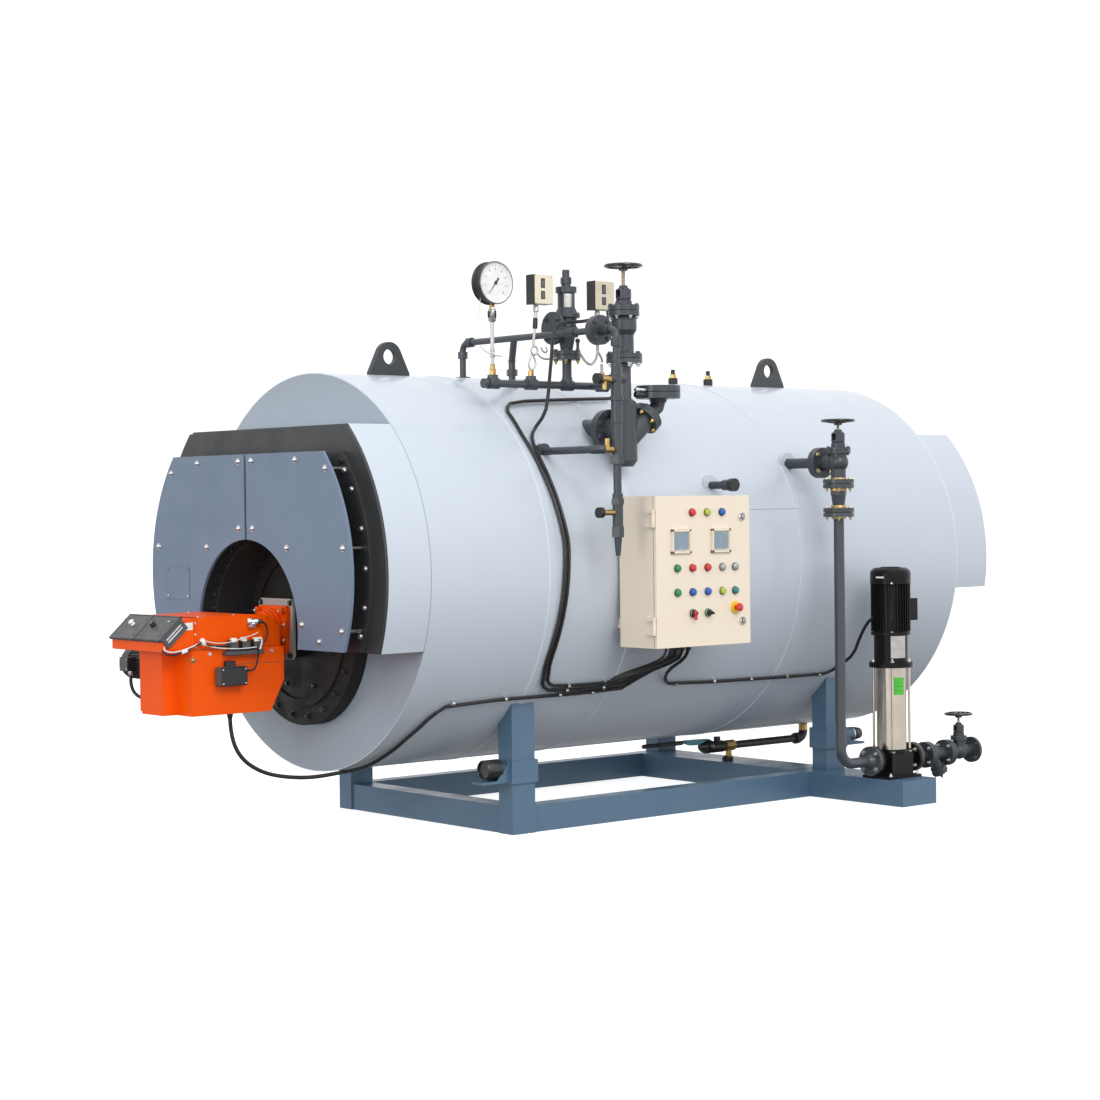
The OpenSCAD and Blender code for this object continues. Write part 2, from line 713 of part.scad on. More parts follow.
module outlet_elbow() {
    neck_z = outlet_z - outlet_low_t - gasket_t - outlet_top_t;
    neck_r = 36;
    leg = 190;
    end = [column_x + leg * sin(50), -column_y, nozzle_z - 60 + leg * cos(50)];
    top = [column_x + outlet_dx, -column_y, neck_z - 22];
    knee = [column_x + outlet_dx - 10, -column_y, neck_z - 44];
    color("#34383c") {
        translate(end) rotate([0, 50, 0]) translate([0, 0, joint_gap]) cylinder(r = 84, h = 16);
        rod(end + [10, 0, 8], knee, neck_r);
        translate(knee) sphere(r = neck_r);
        rod(knee, top + [0, 0, 4], neck_r);
        upward(top) cylinder(r1 = neck_r + 5, r2 = 47, h = 22);
    }
}
module outlet_flange() {
    top_z = outlet_low_t + gasket_t;
    total = top_z + outlet_top_t;
    bore_len = 37;
    color("#34383c") translate([column_x + outlet_dx, -column_y, outlet_z - total]) difference() {
        union() {
            cylinder(r = outlet_flange_r, h = outlet_low_t, $fn = 72);
            translate([0, 0, outlet_low_t - 1]) cylinder(r = outlet_flange_r - 34, h = gasket_t + 2);
            translate([0, 0, top_z]) cylinder(r = outlet_flange_r, h = outlet_top_t, $fn = 72);
        }
        translate([0, 0, total - bore_len]) cylinder(r = 50, h = bore_len + 1);
        for (k = [0:7]) rotate([0, 0, 22.5 + 45 * k]) translate([outlet_flange_r - 24, 0, -1])
            cylinder(r = 9, h = total + 2, $fn = 24);
    }
}
module column_pipe() {
    color("#34383c") {
        upward([column_x, -column_y, nozzle_z + 152])
            cylinder(r = column_r, h = column_joint_z - nozzle_z - 152 - joint_t);
        upward([column_x, -column_y, column_joint_z - joint_t - gasket_t / 2])
            cylinder(r = column_flange_r, h = joint_t, $fn = 72);
    }
}

// Yoke bonnet with two windows, drawn upwards from its flange
module bonnet(h, r, window_h) {
    difference() {
        union() {
            cylinder(r = r * 1.05, h = h * 0.24);
            translate([0, 0, h * 0.22]) cylinder(r1 = r * 0.88, r2 = r, h = h * 0.14);
            translate([0, 0, h * 0.35]) cylinder(r = r, h = h * 0.45);
            translate([0, 0, h * 0.79]) cylinder(r1 = r * 0.95, r2 = r * 0.6, h = h * 0.12);
            translate([0, 0, h * 0.8]) cylinder(r = r * 0.55, h = h * 0.2);
        }
        translate([-2 * r, -r * 0.42, h * 0.4]) cube([4 * r, r * 0.84, window_h]);
    }
    translate([0, 0, h * 0.2]) cylinder(r = r * 0.3, h = h * 0.65);
}
module main_valve() {
    z0 = column_joint_z + gasket_t / 2;
    bonnet_z = z0 + 266;
    ph = main_wheel_z - 100 - bonnet_z;
    color("#34383c") translate([column_x, -column_y, 0]) {
        upward([0, 0, z0 - gasket_t]) cylinder(r = column_flange_r - 22, h = gasket_t + 1);
        upward([0, 0, z0]) cylinder(r = column_flange_r, h = joint_t, $fn = 72);
        upward([0, 0, z0 + joint_t - 1]) cylinder(r = 50, h = 192);
        upward([0, 0, z0 + 116]) cylinder(r1 = 50, r2 = 65, h = 26);
        upward([0, 0, z0 + 141]) cylinder(r = 65, h = 50);
        upward([0, 0, z0 + 190]) cylinder(r1 = 65, r2 = 54, h = 24);
        upward([0, 0, z0 + 213]) cylinder(r = 80, h = 25, $fn = 72);
        upward([0, 0, z0 + 237]) cylinder(r = 64, h = 5);
        upward([0, 0, z0 + 241]) cylinder(r = 80, h = 26, $fn = 72);
        upward([0, 0, bonnet_z]) bonnet(ph, 40, ph * 0.36);
    }
}
// Spoked handwheel with a dished rim, hub at the origin and rim above it
module handwheel(r, spokes, stem_r, stem_len) {
    rim = r * 0.09;
    rotate_extrude($fn = 64) translate([r - rim, 0]) circle(rim, $fn = 24);
    for (k = [0:spokes - 1]) rotate([0, 0, 360 / spokes * k])
        rod([0, 0, -r * 0.14], [r - rim, 0, 0], r * 0.07);
    translate([0, 0, -r * 0.24]) cylinder(r = r * 0.2, h = r * 0.3);
    translate([0, 0, -stem_len]) cylinder(r = stem_r, h = stem_len);
}
module main_handwheel() {
    color("#1f2022") translate([column_x, -column_y, main_wheel_z])
        handwheel(main_wheel_r, 5, 10, 99.5);
}

module balance_pipe() {
    foot = [300, -330, roof_z(330)];
    br = 48;
    flange_y = level_y - 125;
    color("#34383c") difference() {
        union() {
            upward([level_x, 0, crown_z - 20]) cylinder(r = balance_r, h = balance_z - br - crown_z + 20);
            upward([level_x, 0, crown_z - 20]) cylinder(r = balance_r + 22, h = 26);
            translate([level_x, 0, balance_z]) rotate([0, 0, 90]) mirror([0, 0, 1]) bend(balance_r, br);
            upward([level_x, 0, balance_z - br - 34]) cylinder(r = balance_r + 9, h = 36);
            facing_right([level_x, -br + 2, balance_z]) cylinder(r = balance_r + 9, h = 36);
            facing_right([level_x, -br, balance_z]) cylinder(r = balance_r, h = flange_y - br);
            facing_right([level_x, -850, balance_z]) cylinder(r = balance_r + 13, h = 62, $fn = 6);
            facing_right([level_x, -flange_y + 20, balance_z]) cylinder(r = 74, h = 20, $fn = 64);
            rod(foot + [0, 0, -20], foot + [0, 0, 130], 18);
            upward(foot + [0, 0, 52]) cylinder(r = 29, h = 34, $fn = 8);
            translate(foot + [0, 0, 130]) sphere(r = 20);
            rod(foot + [0, 0, 130], [level_x, -430, balance_z], 18);
            rod(foot + [0, 0, -20], foot + [0, 0, 8], 32);
        }
        shell_clear();
    }
}
module level_column() {
    flange_y = level_y - 125;
    br = 46;
    top_z = balance_z;
    low_y = -side_y(lower_leg_z) + 30;
    color("#34383c") difference() {
        union() {
            facing_right([level_x, -flange_y, top_z]) cylinder(r = 74, h = 20, $fn = 64);
            facing_right([level_x, -flange_y - 20, top_z])
                cylinder(r = balance_r + 9, h = level_y - br - flange_y - 18);
            translate([level_x, -level_y, top_z]) rotate([0, 0, -90]) mirror([0, 0, 1])
                bend(balance_r + 1, br);
            upward([level_x, -level_y, top_z - br - 40]) cylinder(r = balance_r + 9, h = 40);
            translate([level_x, -level_y, axis_h]) {
                upward([0, 0, column_head_h])
                    cylinder(r = balance_r, h = balance_h - br - column_head_h);
                upward([0, 0, column_head_h - 12]) cylinder(r = balance_r + 9, h = 40);
                upward([0, 0, column_head_h - 260]) cylinder(r = 28, h = 250);
                upward([0, 0, column_head_h - 150]) cylinder(r = 35, h = 20);
                upward([0, 0, column_head_h - 420]) cylinder(r = 24, h = 170);
                upward([0, 0, column_head_h - 460]) cylinder(r = 36, h = 44, $fn = 6);
                facing_back_x([46, 0, column_head_h - 46]) cylinder(r = 23, h = 86);
                upward([0, 0, column_foot_h + 300])
                    cylinder(r = 20, h = column_head_h - column_foot_h - 754);
                upward([0, 0, column_foot_h + 140]) cylinder(r = 26, h = 164);
                upward([0, 0, column_foot_h + 250]) cylinder(r = 32, h = 30, $fn = 6);
                upward([0, 0, column_foot_h + 90]) cylinder(r = 31, h = 52, $fn = 6);
                upward([0, 0, column_foot_h]) cylinder(r1 = 12, r2 = 20, h = 92);
            }
            facing_right([lower_leg_x, low_y, lower_leg_z]) cylinder(r = 19, h = level_y + low_y - 40);
            facing_right([lower_leg_x, -side_y(lower_leg_z) + 20, lower_leg_z]) cylinder(r = 40, h = 34);
            translate([lower_leg_x, -level_y, lower_leg_z]) rotate([0, 0, 180]) rotate([90, 0, 0])
                bend(22, 40);
        }
        shell_clear();
    }
}
module brass_cocks() {
    out = level_x - lower_leg_x;
    upper_z = axis_h + column_head_h - 46;
    lower_z = axis_h + column_foot_h + 212;
    color("#b08d3c") {
        facing_x([lower_leg_x + 40, -level_y, lower_leg_z]) cylinder(r = 17, h = out - 70.5);
        upward([lower_leg_x + 66, -level_y, lower_leg_z + 10]) cylinder(r = 13, h = 44);
        translate([level_x, -level_y, upper_z]) {
            facing_back_x([-40, 0, 0]) cylinder(r = 18, h = 68);
            facing_back_x([-40, 0, 0]) cylinder(r = 20, h = 20, $fn = 6);
            upward([-78, 0, -53]) cylinder(r = 12, h = 50);
        }
        facing_back_x([level_x - 26.3, -level_y, lower_z]) cylinder(r = 14, h = 76);
    }
    color("#1f2022") {
        facing_back_x([level_x - 108, -level_y, upper_z]) cylinder(r = 27, h = 26);
        facing_back_x([level_x - 102, -level_y, lower_z]) cylinder(r = 26, h = 26);
    }
}
tee_gauge = -126;
tee_switch = 120;
tee_safety = 359;
tee_second = 596;
module tee(x) {
    facing_x([x - 32, -manifold_y, manifold_z]) cylinder(r = manifold_r + 9, h = 64);
    upward([x, -manifold_y, manifold_z]) cylinder(r = manifold_r + 8, h = 42);
}
module instrument_pipe() {
    x0 = tee_gauge - 62;
    color("#34383c") {
        facing_x([x0, -manifold_y, manifold_z]) cylinder(r = manifold_r, h = tee_second - x0);
        facing_x([x0, -manifold_y, manifold_z]) cylinder(r = manifold_r + 6, h = 22, $fn = 8);
        for (x = [tee_gauge, tee_switch, tee_safety, tee_second]) tee(x);
        facing_right([column_x, -manifold_y, manifold_z])
            cylinder(r = manifold_r, h = column_y - column_r - manifold_y - seat);
        facing_right([column_x, -column_y + column_r + 26, manifold_z])
            cylinder(r = manifold_r + 9, h = 26 - seat);
    }
}
module pressure_gauge() {
    z0 = manifold_z + 42;
    p = [tee_gauge, -manifold_y, 0];
    color("silver") translate(p) {
        upward([0, 0, z0]) cylinder(r = 17, h = 32, $fn = 6);
        upward([0, 0, z0 + 30]) cylinder(r = 9, h = 250);
        upward([0, 0, z0 + 268]) cylinder(r = 20, h = 62);
        upward([0, 0, z0 + 328]) cylinder(r = 12, h = gauge_z - gauge_r + 10 - (z0 + 328));
    }
    color("#1f2022") facing_right(p + [0, 34, gauge_z]) cylinder(r = gauge_r, h = 62, $fn = 96);
    color("#1f2022") facing_right(p + [0, -26, gauge_z]) difference() {
        cylinder(r = gauge_r + 3, h = 16, $fn = 96);
        translate([0, 0, 4]) cylinder(r = gauge_r - 8, h = 14, $fn = 96);
    }
}
module switch_unit(x, stem_r) {
    z0 = manifold_z + 42;
    w = 125;
    h = 150;
    d = 66;
    color("silver") {
        upward([x, -manifold_y, z0]) cylinder(r = 15, h = 30, $fn = 6);
        upward([x, -manifold_y, z0 + 28]) cylinder(r = stem_r, h = switch_z - h / 2 - z0 - 28);
        upward([x, -manifold_y, z0 + 190]) cylinder(r = stem_r + 6, h = 60);
    }
    color("wheat") translate([x - 20, -manifold_y - d / 2, switch_z - h / 2]) cube([w, d, h]);
}
module pressure_switches() {
    switch_unit(tee_switch, 9);
    switch_unit(tee_second, 9);
}
module safety_valve() {
    z0 = manifold_z + 42;
    color("#34383c") translate([tee_safety, -manifold_y, 0]) {
        upward([0, 0, z0]) cylinder(r = 24, h = 90);
        upward([0, 0, z0 + 88]) cylinder(r = 70, h = 23, $fn = 64);
        upward([0, 0, z0 + 110]) cylinder(r = 50, h = 5);
        upward([0, 0, z0 + 114]) cylinder(r = 70, h = 20, $fn = 64);
        upward([0, 0, z0 + 133]) cylinder(r1 = 30, r2 = 48, h = 92);
        upward([0, 0, z0 + 246]) sphere(r = 54);
        upward([0, 0, z0 + 260]) cylinder(r = 44, h = 170);
        upward([0, 0, z0 + 286]) cylinder(r = 53, h = 16);
        upward([0, 0, z0 + 429]) cylinder(r = 54, h = 30);
        upward([0, 0, z0 + 458]) cylinder(r = 24, h = 18);
        upward([0, 0, z0 + 474]) cylinder(r = 30, h = 34, $fn = 6);
        upward([0, 0, z0 + 507]) cylinder(r = 19, h = 39);
        facing_back_x([0, 0, z0 + 246]) cylinder(r = 42, h = 82);
        facing_back_x([-80, 0, z0 + 246]) cylinder(r = 84, h = 18, $fn = 64);
    }
}
module shell_nozzles() {
    z = axis_h + side_nozzle_h;
    color("#34383c") {
        for (k = [0, 1]) difference() {
            translate([top_nozzle_x + k * top_nozzle_pitch, 0, crown_z]) {
                upward([0, 0, -10]) cylinder(r = 27, h = 48);
                upward([0, 0, 37]) cylinder(r = 19, h = 22, $fn = 6);
                upward([0, 0, 58]) cylinder(r = 12, h = 28);
            }
            shell_clear();
        }
        difference() {
            translate([side_nozzle_x, -side_y(z), z]) {
                facing_right([0, 40, 0]) cylinder(r = 20, h = 170);
                facing_right([0, 20, 0]) cylinder(r = 52, h = 27);
                facing_right([0, -100, 0]) cylinder(r = 28, h = 56, $fn = 8);
                facing_right([0, -155, 0]) cylinder(r = 34, h = 32);
            }
            shell_clear();
        }
    }
}
module feed_nozzle() {
    y0 = side_y(feed_z);
    flange_y = feed_y - 128;
    color("#34383c") difference() {
        union() {
            facing_right([feed_x, -y0 + 40, feed_z]) cylinder(r = feed_r, h = flange_y - y0 + 20);
            facing_right([feed_x, -y0 + 20, feed_z]) cylinder(r = 60, h = 27);
            facing_right([feed_x, -flange_y + joint_t, feed_z]) cylinder(r = feed_flange_r, h = joint_t);
        }
        shell_clear();
    }
}
module feed_valve() {
    flange_y = feed_y - 128;
    z0 = feed_z - 90;
    color("#34383c") {
        facing_right([feed_x, -flange_y, feed_z]) cylinder(r = feed_flange_r, h = joint_t);
        facing_right([feed_x, -flange_y - joint_t + 2, feed_z]) cylinder(r = 42, h = 90);
        translate([feed_x, -feed_y, 0]) {
            upward([0, 0, feed_z]) sphere(r = 54);
            upward([0, 0, z0 - 1]) cylinder(r = 40, h = 70);
            upward([0, 0, z0 - joint_t]) cylinder(r = feed_flange_r, h = joint_t);
            upward([0, 0, feed_z + 20]) cylinder(r = 46, h = 30);
            upward([0, 0, feed_z + 48]) cylinder(r = 66, h = 14);
            upward([0, 0, feed_z + 64]) cylinder(r = 66, h = 16);
            upward([0, 0, feed_z + 60]) cylinder(r = 54, h = 6);
            upward([0, 0, feed_z + 79]) bonnet(96, 36, 34);
        }
    }
}
module feed_handwheel() {
    color("#1f2022") translate([feed_x, -feed_y, feed_z + 222]) handwheel(feed_wheel_r, 5, 8, 46.5);
}
module check_valve() {
    z1 = feed_z - 90 - joint_t;
    color("#34383c") translate([feed_x, -feed_y, 0]) {
        upward([0, 0, z1 - 3]) cylinder(r = feed_flange_r - 26, h = 3);
        upward([0, 0, z1 - 3 - joint_t]) cylinder(r = feed_flange_r, h = joint_t);
        upward([0, 0, z1 - 62]) cylinder(r = 42, h = 38, $fn = 8);
        upward([0, 0, z1 - 132]) cylinder(r1 = 30, r2 = 40, h = 72);
        upward([0, 0, z1 - 131 - joint_t]) cylinder(r = feed_flange_r, h = joint_t);
    }
}
module feed_pipe() {
    top = feed_z - 90 - joint_t - 131 - joint_t;
    br = 85;
    face = pump_x - pump_port;
    color("#34383c") {
        translate([feed_x, -feed_y, 0]) {
            upward([0, 0, top - 3]) cylinder(r = feed_flange_r - 26, h = 3);
            upward([0, 0, top - 3 - joint_t]) cylinder(r = feed_flange_r, h = joint_t);
            upward([0, 0, port_z + br]) cylinder(r = feed_r, h = top - 3 - joint_t - port_z - br);
        }
        translate([feed_x, -feed_y, port_z]) rotate([0, 0, 180]) bend(feed_r, br);
        facing_x([feed_x + br, -feed_y, port_z]) cylinder(r = feed_r, h = face - joint_t - feed_x - br);
        facing_x([face - joint_t - 26, -feed_y, port_z]) cylinder(r1 = feed_r, r2 = 44, h = 27);
        facing_x([face - joint_t, -feed_y, port_z]) cylinder(r = 80, h = joint_t, $fn = 64);
    }
}
module pump_base() {
    z = port_z;
    color("#1f2022") translate([pump_x, -feed_y, 0]) {
        translate([-128, -100, beam_h]) cube([256, 200, 14]);
        translate([-85, -78, beam_h + 14]) cube([170, 156, 120]);
        for (s = [-1, 1]) {
            facing_x([s > 0 ? 60 : -pump_port, 0, z]) cylinder(r = 46, h = pump_port - 60);
            facing_x([s > 0 ? pump_port - 18 : -pump_port, 0, z]) cylinder(r = 80, h = 18, $fn = 64);
        }
        upward([0, 0, beam_h + 133]) cylinder(r = pump_r + 6, h = 22);
    }
}
module pump_sleeve() {
    z0 = beam_h + 155;
    z1 = beam_h + pump_head_h - joint_gap;
    color("silver") translate([pump_x, -feed_y, 0]) {
        upward([0, 0, z0]) cylinder(r = pump_r, h = z1 - z0, $fn = 72);
        for (a = [45:90:315]) rotate([0, 0, a]) translate([pump_r + 16, 0, beam_h + 156])
            cylinder(r = 7, h = z1 - beam_h - 156);
    }
}
module pump_motor() {
    z0 = beam_h + pump_head_h;
    z1 = beam_h + motor_top_h;
    body_z = z0 + 190;
    color("#1c1d1f") translate([pump_x, -feed_y, 0]) {
        upward([0, 0, z0]) cylinder(r = pump_r + 40, h = 28, $fn = 72);
        difference() {
            upward([0, 0, z0 + 27]) cylinder(r = 92, h = 150, $fn = 72);
            for (a = [0, 180]) rotate([0, 0, a - 28]) translate([-34, -110, z0 + 52]) cube([68, 60, 96]);
        }
        upward([0, 0, z0 + 176]) cylinder(r = motor_r - 2, h = 16, $fn = 72);
        upward([0, 0, body_z]) cylinder(r = motor_r - 14, h = z1 - 70 - body_z, $fn = 72);
        for (k = [0:35]) rotate([0, 0, k * 10]) translate([motor_r - 18, -1.8, body_z + 6])
            cube([15, 3.6, z1 - 92 - body_z]);
        upward([0, 0, z1 - 86]) cylinder(r = motor_r, h = 62, $fn = 72);
        upward([0, 0, z1 - 25]) cylinder(r1 = motor_r, r2 = motor_r - 7, h = 13, $fn = 72);
        upward([0, 0, z1 - 12]) cylinder(r1 = motor_r - 7, r2 = motor_r - 24, h = 12, $fn = 72);
        translate([motor_r - 20, -46, body_z + 60]) cube([78, 92, 120]);
    }
}
module suction_line() {
    x0 = pump_x + pump_port;
    color("#34383c") translate([0, -feed_y, port_z]) {
        facing_x([x0, 0, 0]) cylinder(r = 80, h = joint_t, $fn = 64);
        facing_x([x0 + joint_t - 1, 0, 0]) cylinder(r = 30, h = 90);
        facing_x([x0 + 104, 0, 0]) cylinder(r = 72, h = 18, $fn = 64);
        facing_x([x0 + 124, 0, 0]) cylinder(r = 72, h = 18, $fn = 64);
        facing_x([x0 + 120, 0, 0]) cylinder(r = 44, h = 6);
        facing_x([x0 + 140, 0, 0]) cylinder(r = 34, h = 130);
        rod([x0 + 165, 0, -4], [x0 + 225, 0, -84], 30);
        rod([x0 + 218, 0, -76], [x0 + 232, 0, -94], 42);
        facing_x([x0 + 268, 0, 0]) cylinder(r = 72, h = 18, $fn = 64);
    }
}
module suction_valve() {
    x0 = pump_x + pump_port + 286;
    cx = x0 + 115;
    color("#34383c") translate([0, -feed_y, port_z]) difference() {
        union() {
            facing_x([x0, 0, 0]) cylinder(r = 44, h = 4);
            facing_x([x0 + 3, 0, 0]) cylinder(r = 72, h = 18, $fn = 64);
            facing_x([x0 + 20, 0, 0]) cylinder(r = 33, h = 200);
            translate([cx, 0, 0]) sphere(r = 46);
            upward([cx, 0, 0]) cylinder(r = 34, h = 64);
            upward([cx, 0, 62]) cylinder(r = 46, h = 24);
            upward([cx, 0, 85]) bonnet(74, 30, 26);
            facing_x([x0 + 212, 0, 0]) cylinder(r = 72, h = 18, $fn = 64);
        }
        facing_x([x0 + 190, 0, 0]) cylinder(r = 21, h = 60);
        for (k = [0:3]) facing_x([x0 + 190, 0, 0]) rotate([0, 0, 45 + 90 * k])
            translate([54, 0, 0]) cylinder(r = 8, h = 60, $fn = 24);
    }
}
module suction_handwheel() {
    cx = pump_x + pump_port + 286 + 115;
    color("#1f2022") translate([cx, -feed_y, port_z + 208]) handwheel(suction_wheel_r, 5, 7, 48.5);
}

module drain_line() {
    x0 = shell_x1 - drain_back;
    bottom = axis_h - shell_r;
    z = bottom - drain_drop;
    color("#34383c") difference() {
        union() {
            upward([x0, 0, z + 44]) cylinder(r = 27, h = bottom - z - 34);
            translate([x0, 0, z]) bend(27, 44);
            facing_back_x([x0 - 44, 0, z]) cylinder(r = 22, h = 640);
            facing_back_x([x0 - 42, 0, z]) cylinder(r = 34, h = 34, $fn = 8);
            facing_back_x([x0 - 590, 0, z]) cylinder(r = 32, h = 70, $fn = 8);
            facing_back_x([x0 - 680, 0, z]) cylinder(r = 34, h = 90);
            upward([x0 - 720, 0, z]) cylinder(r = 20, h = 58);
        }
        shell_clear();
    }
}

// Routes of the cables as places on the shell, each with its distance along the shell and its angle
cable_d = 18;
gland_x = panel_x + 283;
low_route = [[-722, -77], [-700, -77], [-667, -72], [-655, -64], [-625, -52], [-570, -43], [-487, -38.6],
    [600, -38.6], [660, -36]];
front_route = [[100, 43.5], [56, 40], [48, 34], [70, 22], [97, 8], [78, -8], [50, -27],
    [80, -33.5], [154, -35.4], [600, -35.4], [640, -33]];
back_route = [[820, 60.5], [468, 59], [110, 57], [28, 53], [12, 42], [22, 34], [46, 22], [72, 8], [53, -8],
    [24, -27], [54, -34.5], [128, -37], [600, -37], [650, -34.5]];
pump_route = [[900, -36], [960, -38], [2120, -39], [2180, -38]];
// A place beside the shell at a height, by its gap to the shell
function beside(x, z, gap) = [x, -(side_y(z) + gap), z];
// Free ends of the same cables, from the panel's underside, the switch and the pump motor
function entry(x, y, bow) = [beside(x - bow, panel_z - 146, 78), [x, -(shell_r + y) + 30, panel_z - 76],
    [x, -(shell_r + y), panel_z - 30], [x, -(shell_r + y), panel_z - seat]];
switch_drop = [[tee_second + 28, -manifold_y - 21, switch_z - 75 - seat],
    [tee_second + 28, -manifold_y - 21, switch_z - 95], [tee_second + 22, -manifold_y - 34, switch_z - 114],
    [tee_second - 40, -manifold_y - 42, balance_z + 90],
    [tee_second - 130, -manifold_y - 70, balance_z + 82], [level_x + 140, -manifold_y - 95, balance_z + 66],
    [level_x, -manifold_y - 110, balance_z + 58], [level_x - 62, -manifold_y - 112, balance_z + 10],
    [level_x - 66, -manifold_y - 104, balance_z - 120], [level_x - 70, -manifold_y - 96, manifold_z + 60],
    [level_x - 80, -manifold_y - 92, manifold_z - 60], [level_x - 100, -manifold_y - 90, manifold_z - 150]];
pump_exit = [for (i = [3:-1:0]) entry(gland_x + 100, 110, -30)[i]];
pump_end = [beside(2190, beam_h + 600, 64), beside(2150, beam_h + 662, 150),
    [pump_x - 105, -feed_y + 130, beam_h + 762], [pump_x - 122, -feed_y + 64, beam_h + 840],
    [pump_x - 112, -feed_y + 28, beam_h + 872]];

function fine_steps(p) = [for (i = [0:len(p) - 2], k = [0:ceil(abs(p[i + 1][1] - p[i][1]) / 7 + 0.1) - 1])
    p[i] + (p[i + 1] - p[i]) * k / ceil(abs(p[i + 1][1] - p[i][1]) / 7 + 0.1)];
function laid(route) = [for (p = concat(fine_steps(route), [route[len(route) - 1]]))
    on_shell(p[0], p[1], cable_d / 2 + seam_h + 2)];
function soften(p) = concat([p[0]], [for (i = [0:len(p) - 2], t = [0.25, 0.75]) p[i] * (1 - t)
    + p[i + 1] * t], [p[len(p) - 1]]);
function unit(v) = v / norm(v);
function heading(p, i) = unit(p[min(i + 1, len(p) - 1)] - p[max(i - 1, 0)]);
function ring(p, i, r, sides) = let (t = heading(p, i), u = unit(cross(t, [1, -1, 0])), v = cross(u, t))
    [for (k = [0:sides - 1]) p[i] + r * cos(360 / sides * k) * u + r * sin(360 / sides * k) * v];
module sweep(p, d, sides) {
    n = len(p);
    points = [for (i = [0:n - 1], q = ring(p, i, d / 2, sides)) q];
    walls = [for (i = [0:n - 2], k = [0:sides - 1]) [i * sides + k, i * sides + (k + 1) % sides,
        (i + 1) * sides + (k + 1) % sides, (i + 1) * sides + k]];
    ends = [[for (k = [sides - 1:-1:0]) k], [for (k = [0:sides - 1]) (n - 1) * sides + k]];
    polyhedron(points, concat(walls, ends));
}
module cable_conduits() {
    color("#1c1d1f") {
        sweep(soften(concat(laid(low_route), entry(gland_x + 35, 90, 35))), cable_d, 8);
        sweep(soften(concat(switch_drop, laid(front_route), entry(gland_x, 110, 10))), cable_d, 8);
        sweep(soften(concat(laid(back_route), entry(gland_x + 18, 150, 28))), cable_d, 8);
        sweep(soften(concat(pump_exit, laid(pump_route), pump_end)), cable_d, 8);
    }
}

// Route of the hanging burner cable, from the air box to the clipped run under the shell
burner_cable_d = 20;
cable_path = [[-1304, -100, 663], [-1304, -100, 625], [-1302, -102, 580], [-1296, -105, 535],
    [-1284, -110, 490], [-1264, -116, 450], [-1236, -124, 415], [-1200, -133, 386],
    [-1160, -142, 363], [-1115, -152, 345], [-1065, -163, 332], [-1010, -174, 323],
    [-955, -184, 317], [-900, -194, 315], [-850, -204, 317], [-805, -213, 321], [-770, -221, 325],
    [-745, -226, 328], [-735, -228, 330], [-722.3, -228, 330]];
module burner_cable() { color("#1c1d1f") sweep(cable_path, burner_cable_d, 10); }

skid_front_beam();
skid_side_rails();
skid_rear_beam();
front_legs();
rear_legs();
leg_sleeves();
shell_cladding();
front_end_plate();
rear_end_plate();
front_smokebox();
smokebox_flange();
smokebox_door();
cover_plate_left();
cover_plate_right();
cover_studs();
furnace_front();
burner_plate();
burner_head();
burner_air_box();
burner_housing();
burner_lids();
burner_fan_motor();
burner_fittings();
rear_smokebox();
rear_cover();
flue_collar();
lifting_lugs();
panel_box();
panel_door();
panel_controls();
steam_nozzle();
outlet_body();
outlet_elbow();
outlet_flange();
column_pipe();
main_valve();
main_handwheel();
balance_pipe();
level_column();
brass_cocks();
instrument_pipe();
pressure_gauge();
pressure_switches();
safety_valve();
shell_nozzles();
feed_nozzle();
feed_valve();
feed_handwheel();
check_valve();
feed_pipe();
pump_base();
pump_sleeve();
pump_motor();
suction_line();
suction_valve();
suction_handwheel();
drain_line();
cable_conduits();
burner_cable();
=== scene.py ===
import itertools
import json
import math

import bpy
from mathutils import Matrix, Vector


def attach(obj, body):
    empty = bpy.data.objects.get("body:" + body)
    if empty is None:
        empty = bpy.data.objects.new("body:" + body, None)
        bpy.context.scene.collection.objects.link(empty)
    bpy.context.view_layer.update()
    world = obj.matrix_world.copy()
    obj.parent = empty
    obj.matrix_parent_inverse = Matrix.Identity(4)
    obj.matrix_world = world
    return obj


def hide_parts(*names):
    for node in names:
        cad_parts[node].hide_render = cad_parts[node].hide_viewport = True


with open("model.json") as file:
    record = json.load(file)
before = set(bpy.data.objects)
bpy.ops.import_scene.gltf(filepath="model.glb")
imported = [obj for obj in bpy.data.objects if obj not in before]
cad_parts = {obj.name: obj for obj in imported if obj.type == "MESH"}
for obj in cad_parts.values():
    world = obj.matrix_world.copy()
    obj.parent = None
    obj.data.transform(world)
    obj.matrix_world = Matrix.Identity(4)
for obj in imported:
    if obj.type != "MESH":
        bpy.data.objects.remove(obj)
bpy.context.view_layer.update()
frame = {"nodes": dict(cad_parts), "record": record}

# Places and directions, in metres, in the frame of the CAD model
NODE = frame["nodes"]
RECORD = frame["record"]
JOINT = {j["name"]: j["pos_m"] for j in RECORD["behaviour"]["joints"]}
MOUNT = {m["name"]: m["pos_m"] for m in RECORD["mounts"]}
TAU = 2 * math.pi
SIDES = (-1, 1)
FRONT, BACK, NEAR, FAR, UP, DOWN = (-1, 0, 0), (1, 0, 0), (0, -1, 0), (0, 1, 0), (0, 0, 1), (0, 0, -1)
SHELL_R, SHELL_END, AXIS_Z = 1.0, 3.04, 1.318
SEAMS = (0.0, 0.57, 1.77)
ARCH_Z = AXIS_Z - 0.273
COVER_X, DOOR_X, FURNACE_X = -1.135, -1.03, -0.825
MAIN_X, MAIN_Y = JOINT["main_wheel_turn"][:2]
FEED_X, FEED_Y = JOINT["feed_wheel_turn"][:2]
